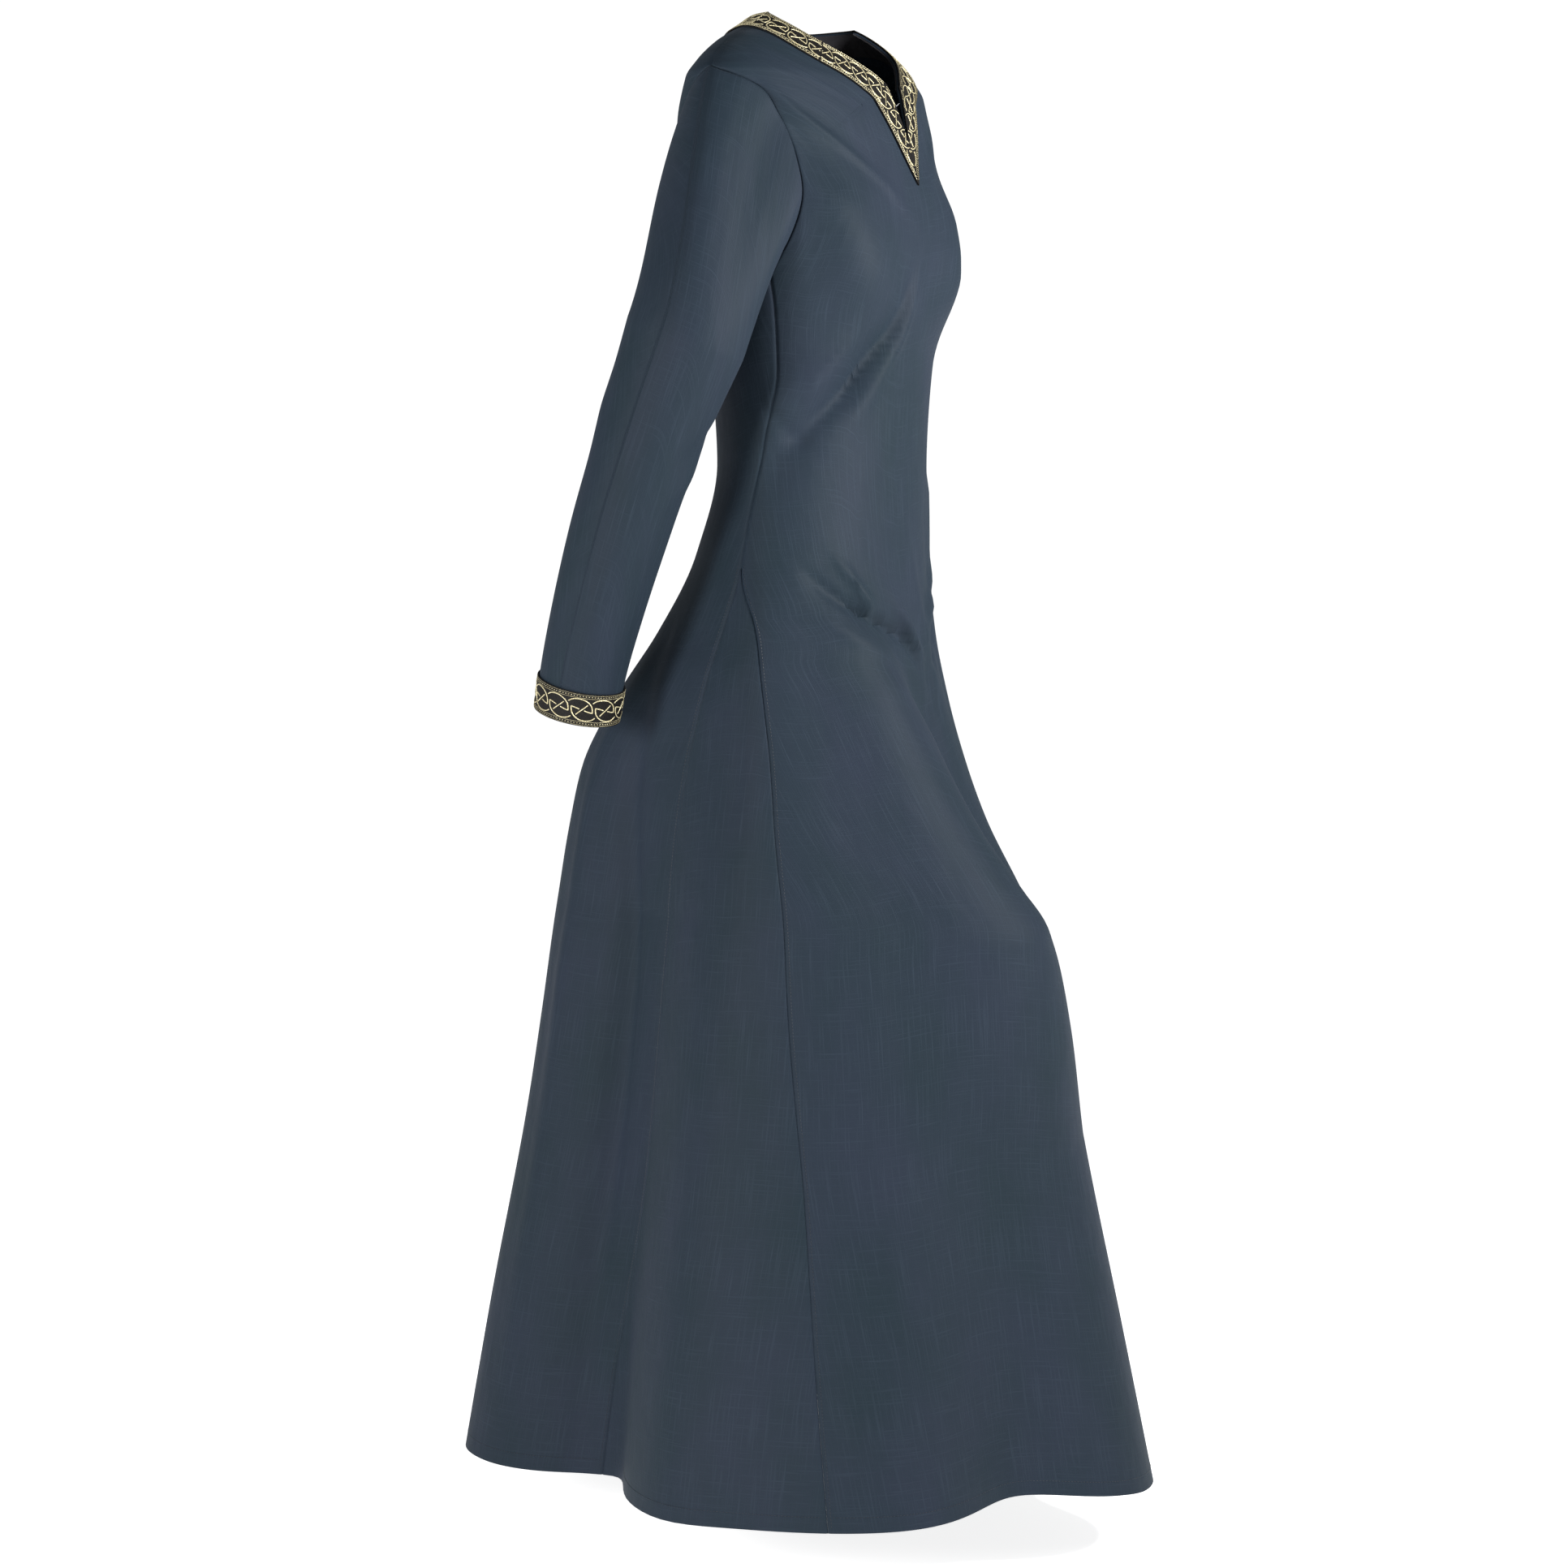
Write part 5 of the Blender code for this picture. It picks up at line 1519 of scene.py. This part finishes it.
def build():
    """Dress every solid of the gown."""
    camera_and_light()
    cloth = gown_cloth_material()
    ground = ribbon_material()
    gold = thread_material()
    dark = facing_material()
    thread = sewing_thread_material()
    front, corner = front_half()
    back, back_corner = back_half(front[-1])
    front_edge = float(seam_turn(HEM + STITCH_FROM_HEM, 1)) - 0.6
    back_edge = float(seam_turn(HEM + STITCH_FROM_HEM, 2)) + 0.6

    rows = [beside_seam(sign, 1, -1) for sign in (-1, 1)]
    rows.append(along_hem(-front_edge, front_edge))
    stitches = sewing("front_stitches", rows, thread)
    piece = panel("front", front, corner - SLIT_ROWS, cloth)
    declare(piece, "front_panel")
    rows = [beside_seam(sign, 2, 1) for sign in (-1, 1)]
    rows.append(along_hem(back_edge, 360 - back_edge))
    stitches = sewing("back_stitches", rows, thread)
    piece = panel("back", back, back_corner, cloth)
    declare(piece, "back_panel")

    strip = neck_strip(front, corner, BACK_BAND_STEPS)
    threads = interlace("neck_interlace", neck_pieces(strip), gold)
    piece = neck_band("neck_trim", strip, RIBBON_LIFT, RIBBON_THICK, ground)
    declare(piece, "neck_ribbon")
    strip = neck_strip(front, corner, NECK_ROWS)
    low_out = -(CLOTH + LINING) - np.interp(np.linspace(0, 2, BAND_STEPS + 1), (0, 1, 2), FACING_GAPS)
    piece = neck_band("neck_lining", strip, low_out, LINING, dark)
    declare(piece, "neck_facing")

    for side, sign in (("right", -1), ("left", 1)):
        stitches = sewing("gore_stitches_" + side,
                          [along_hem(sign * (front_edge + 1.4), sign * (back_edge - 1.4))], thread)
        piece = gore("side_gore_" + side, sign, cloth)
        declare(piece, "gore_" + side)
        threads = interlace("slit_interlace_" + side, slit_pieces(front, corner, sign), gold)
        piece = slit_ribbon("slit_trim_" + side, front, corner, sign, ground)
        declare(piece, "slit_ribbon_" + side)
        rings, angles = sleeve_points(front, back, sign)
        rings = rings + sleeve_rise(rings, angles)[..., None] * ring_normals(rings, sign)
        piece = sleeve("long_sleeve_" + side, rings, sign, cloth)
        declare(piece, "sleeve_" + side)
        band = cuff_band(rings, sign, BAND_STEPS)
        threads = interlace("cuff_interlace_" + side, cuff_pieces(band), gold)
        piece = cuff_ribbon("cuff_trim_" + side, band, ground)
        declare(piece, "cuff_ribbon_" + side)


build()
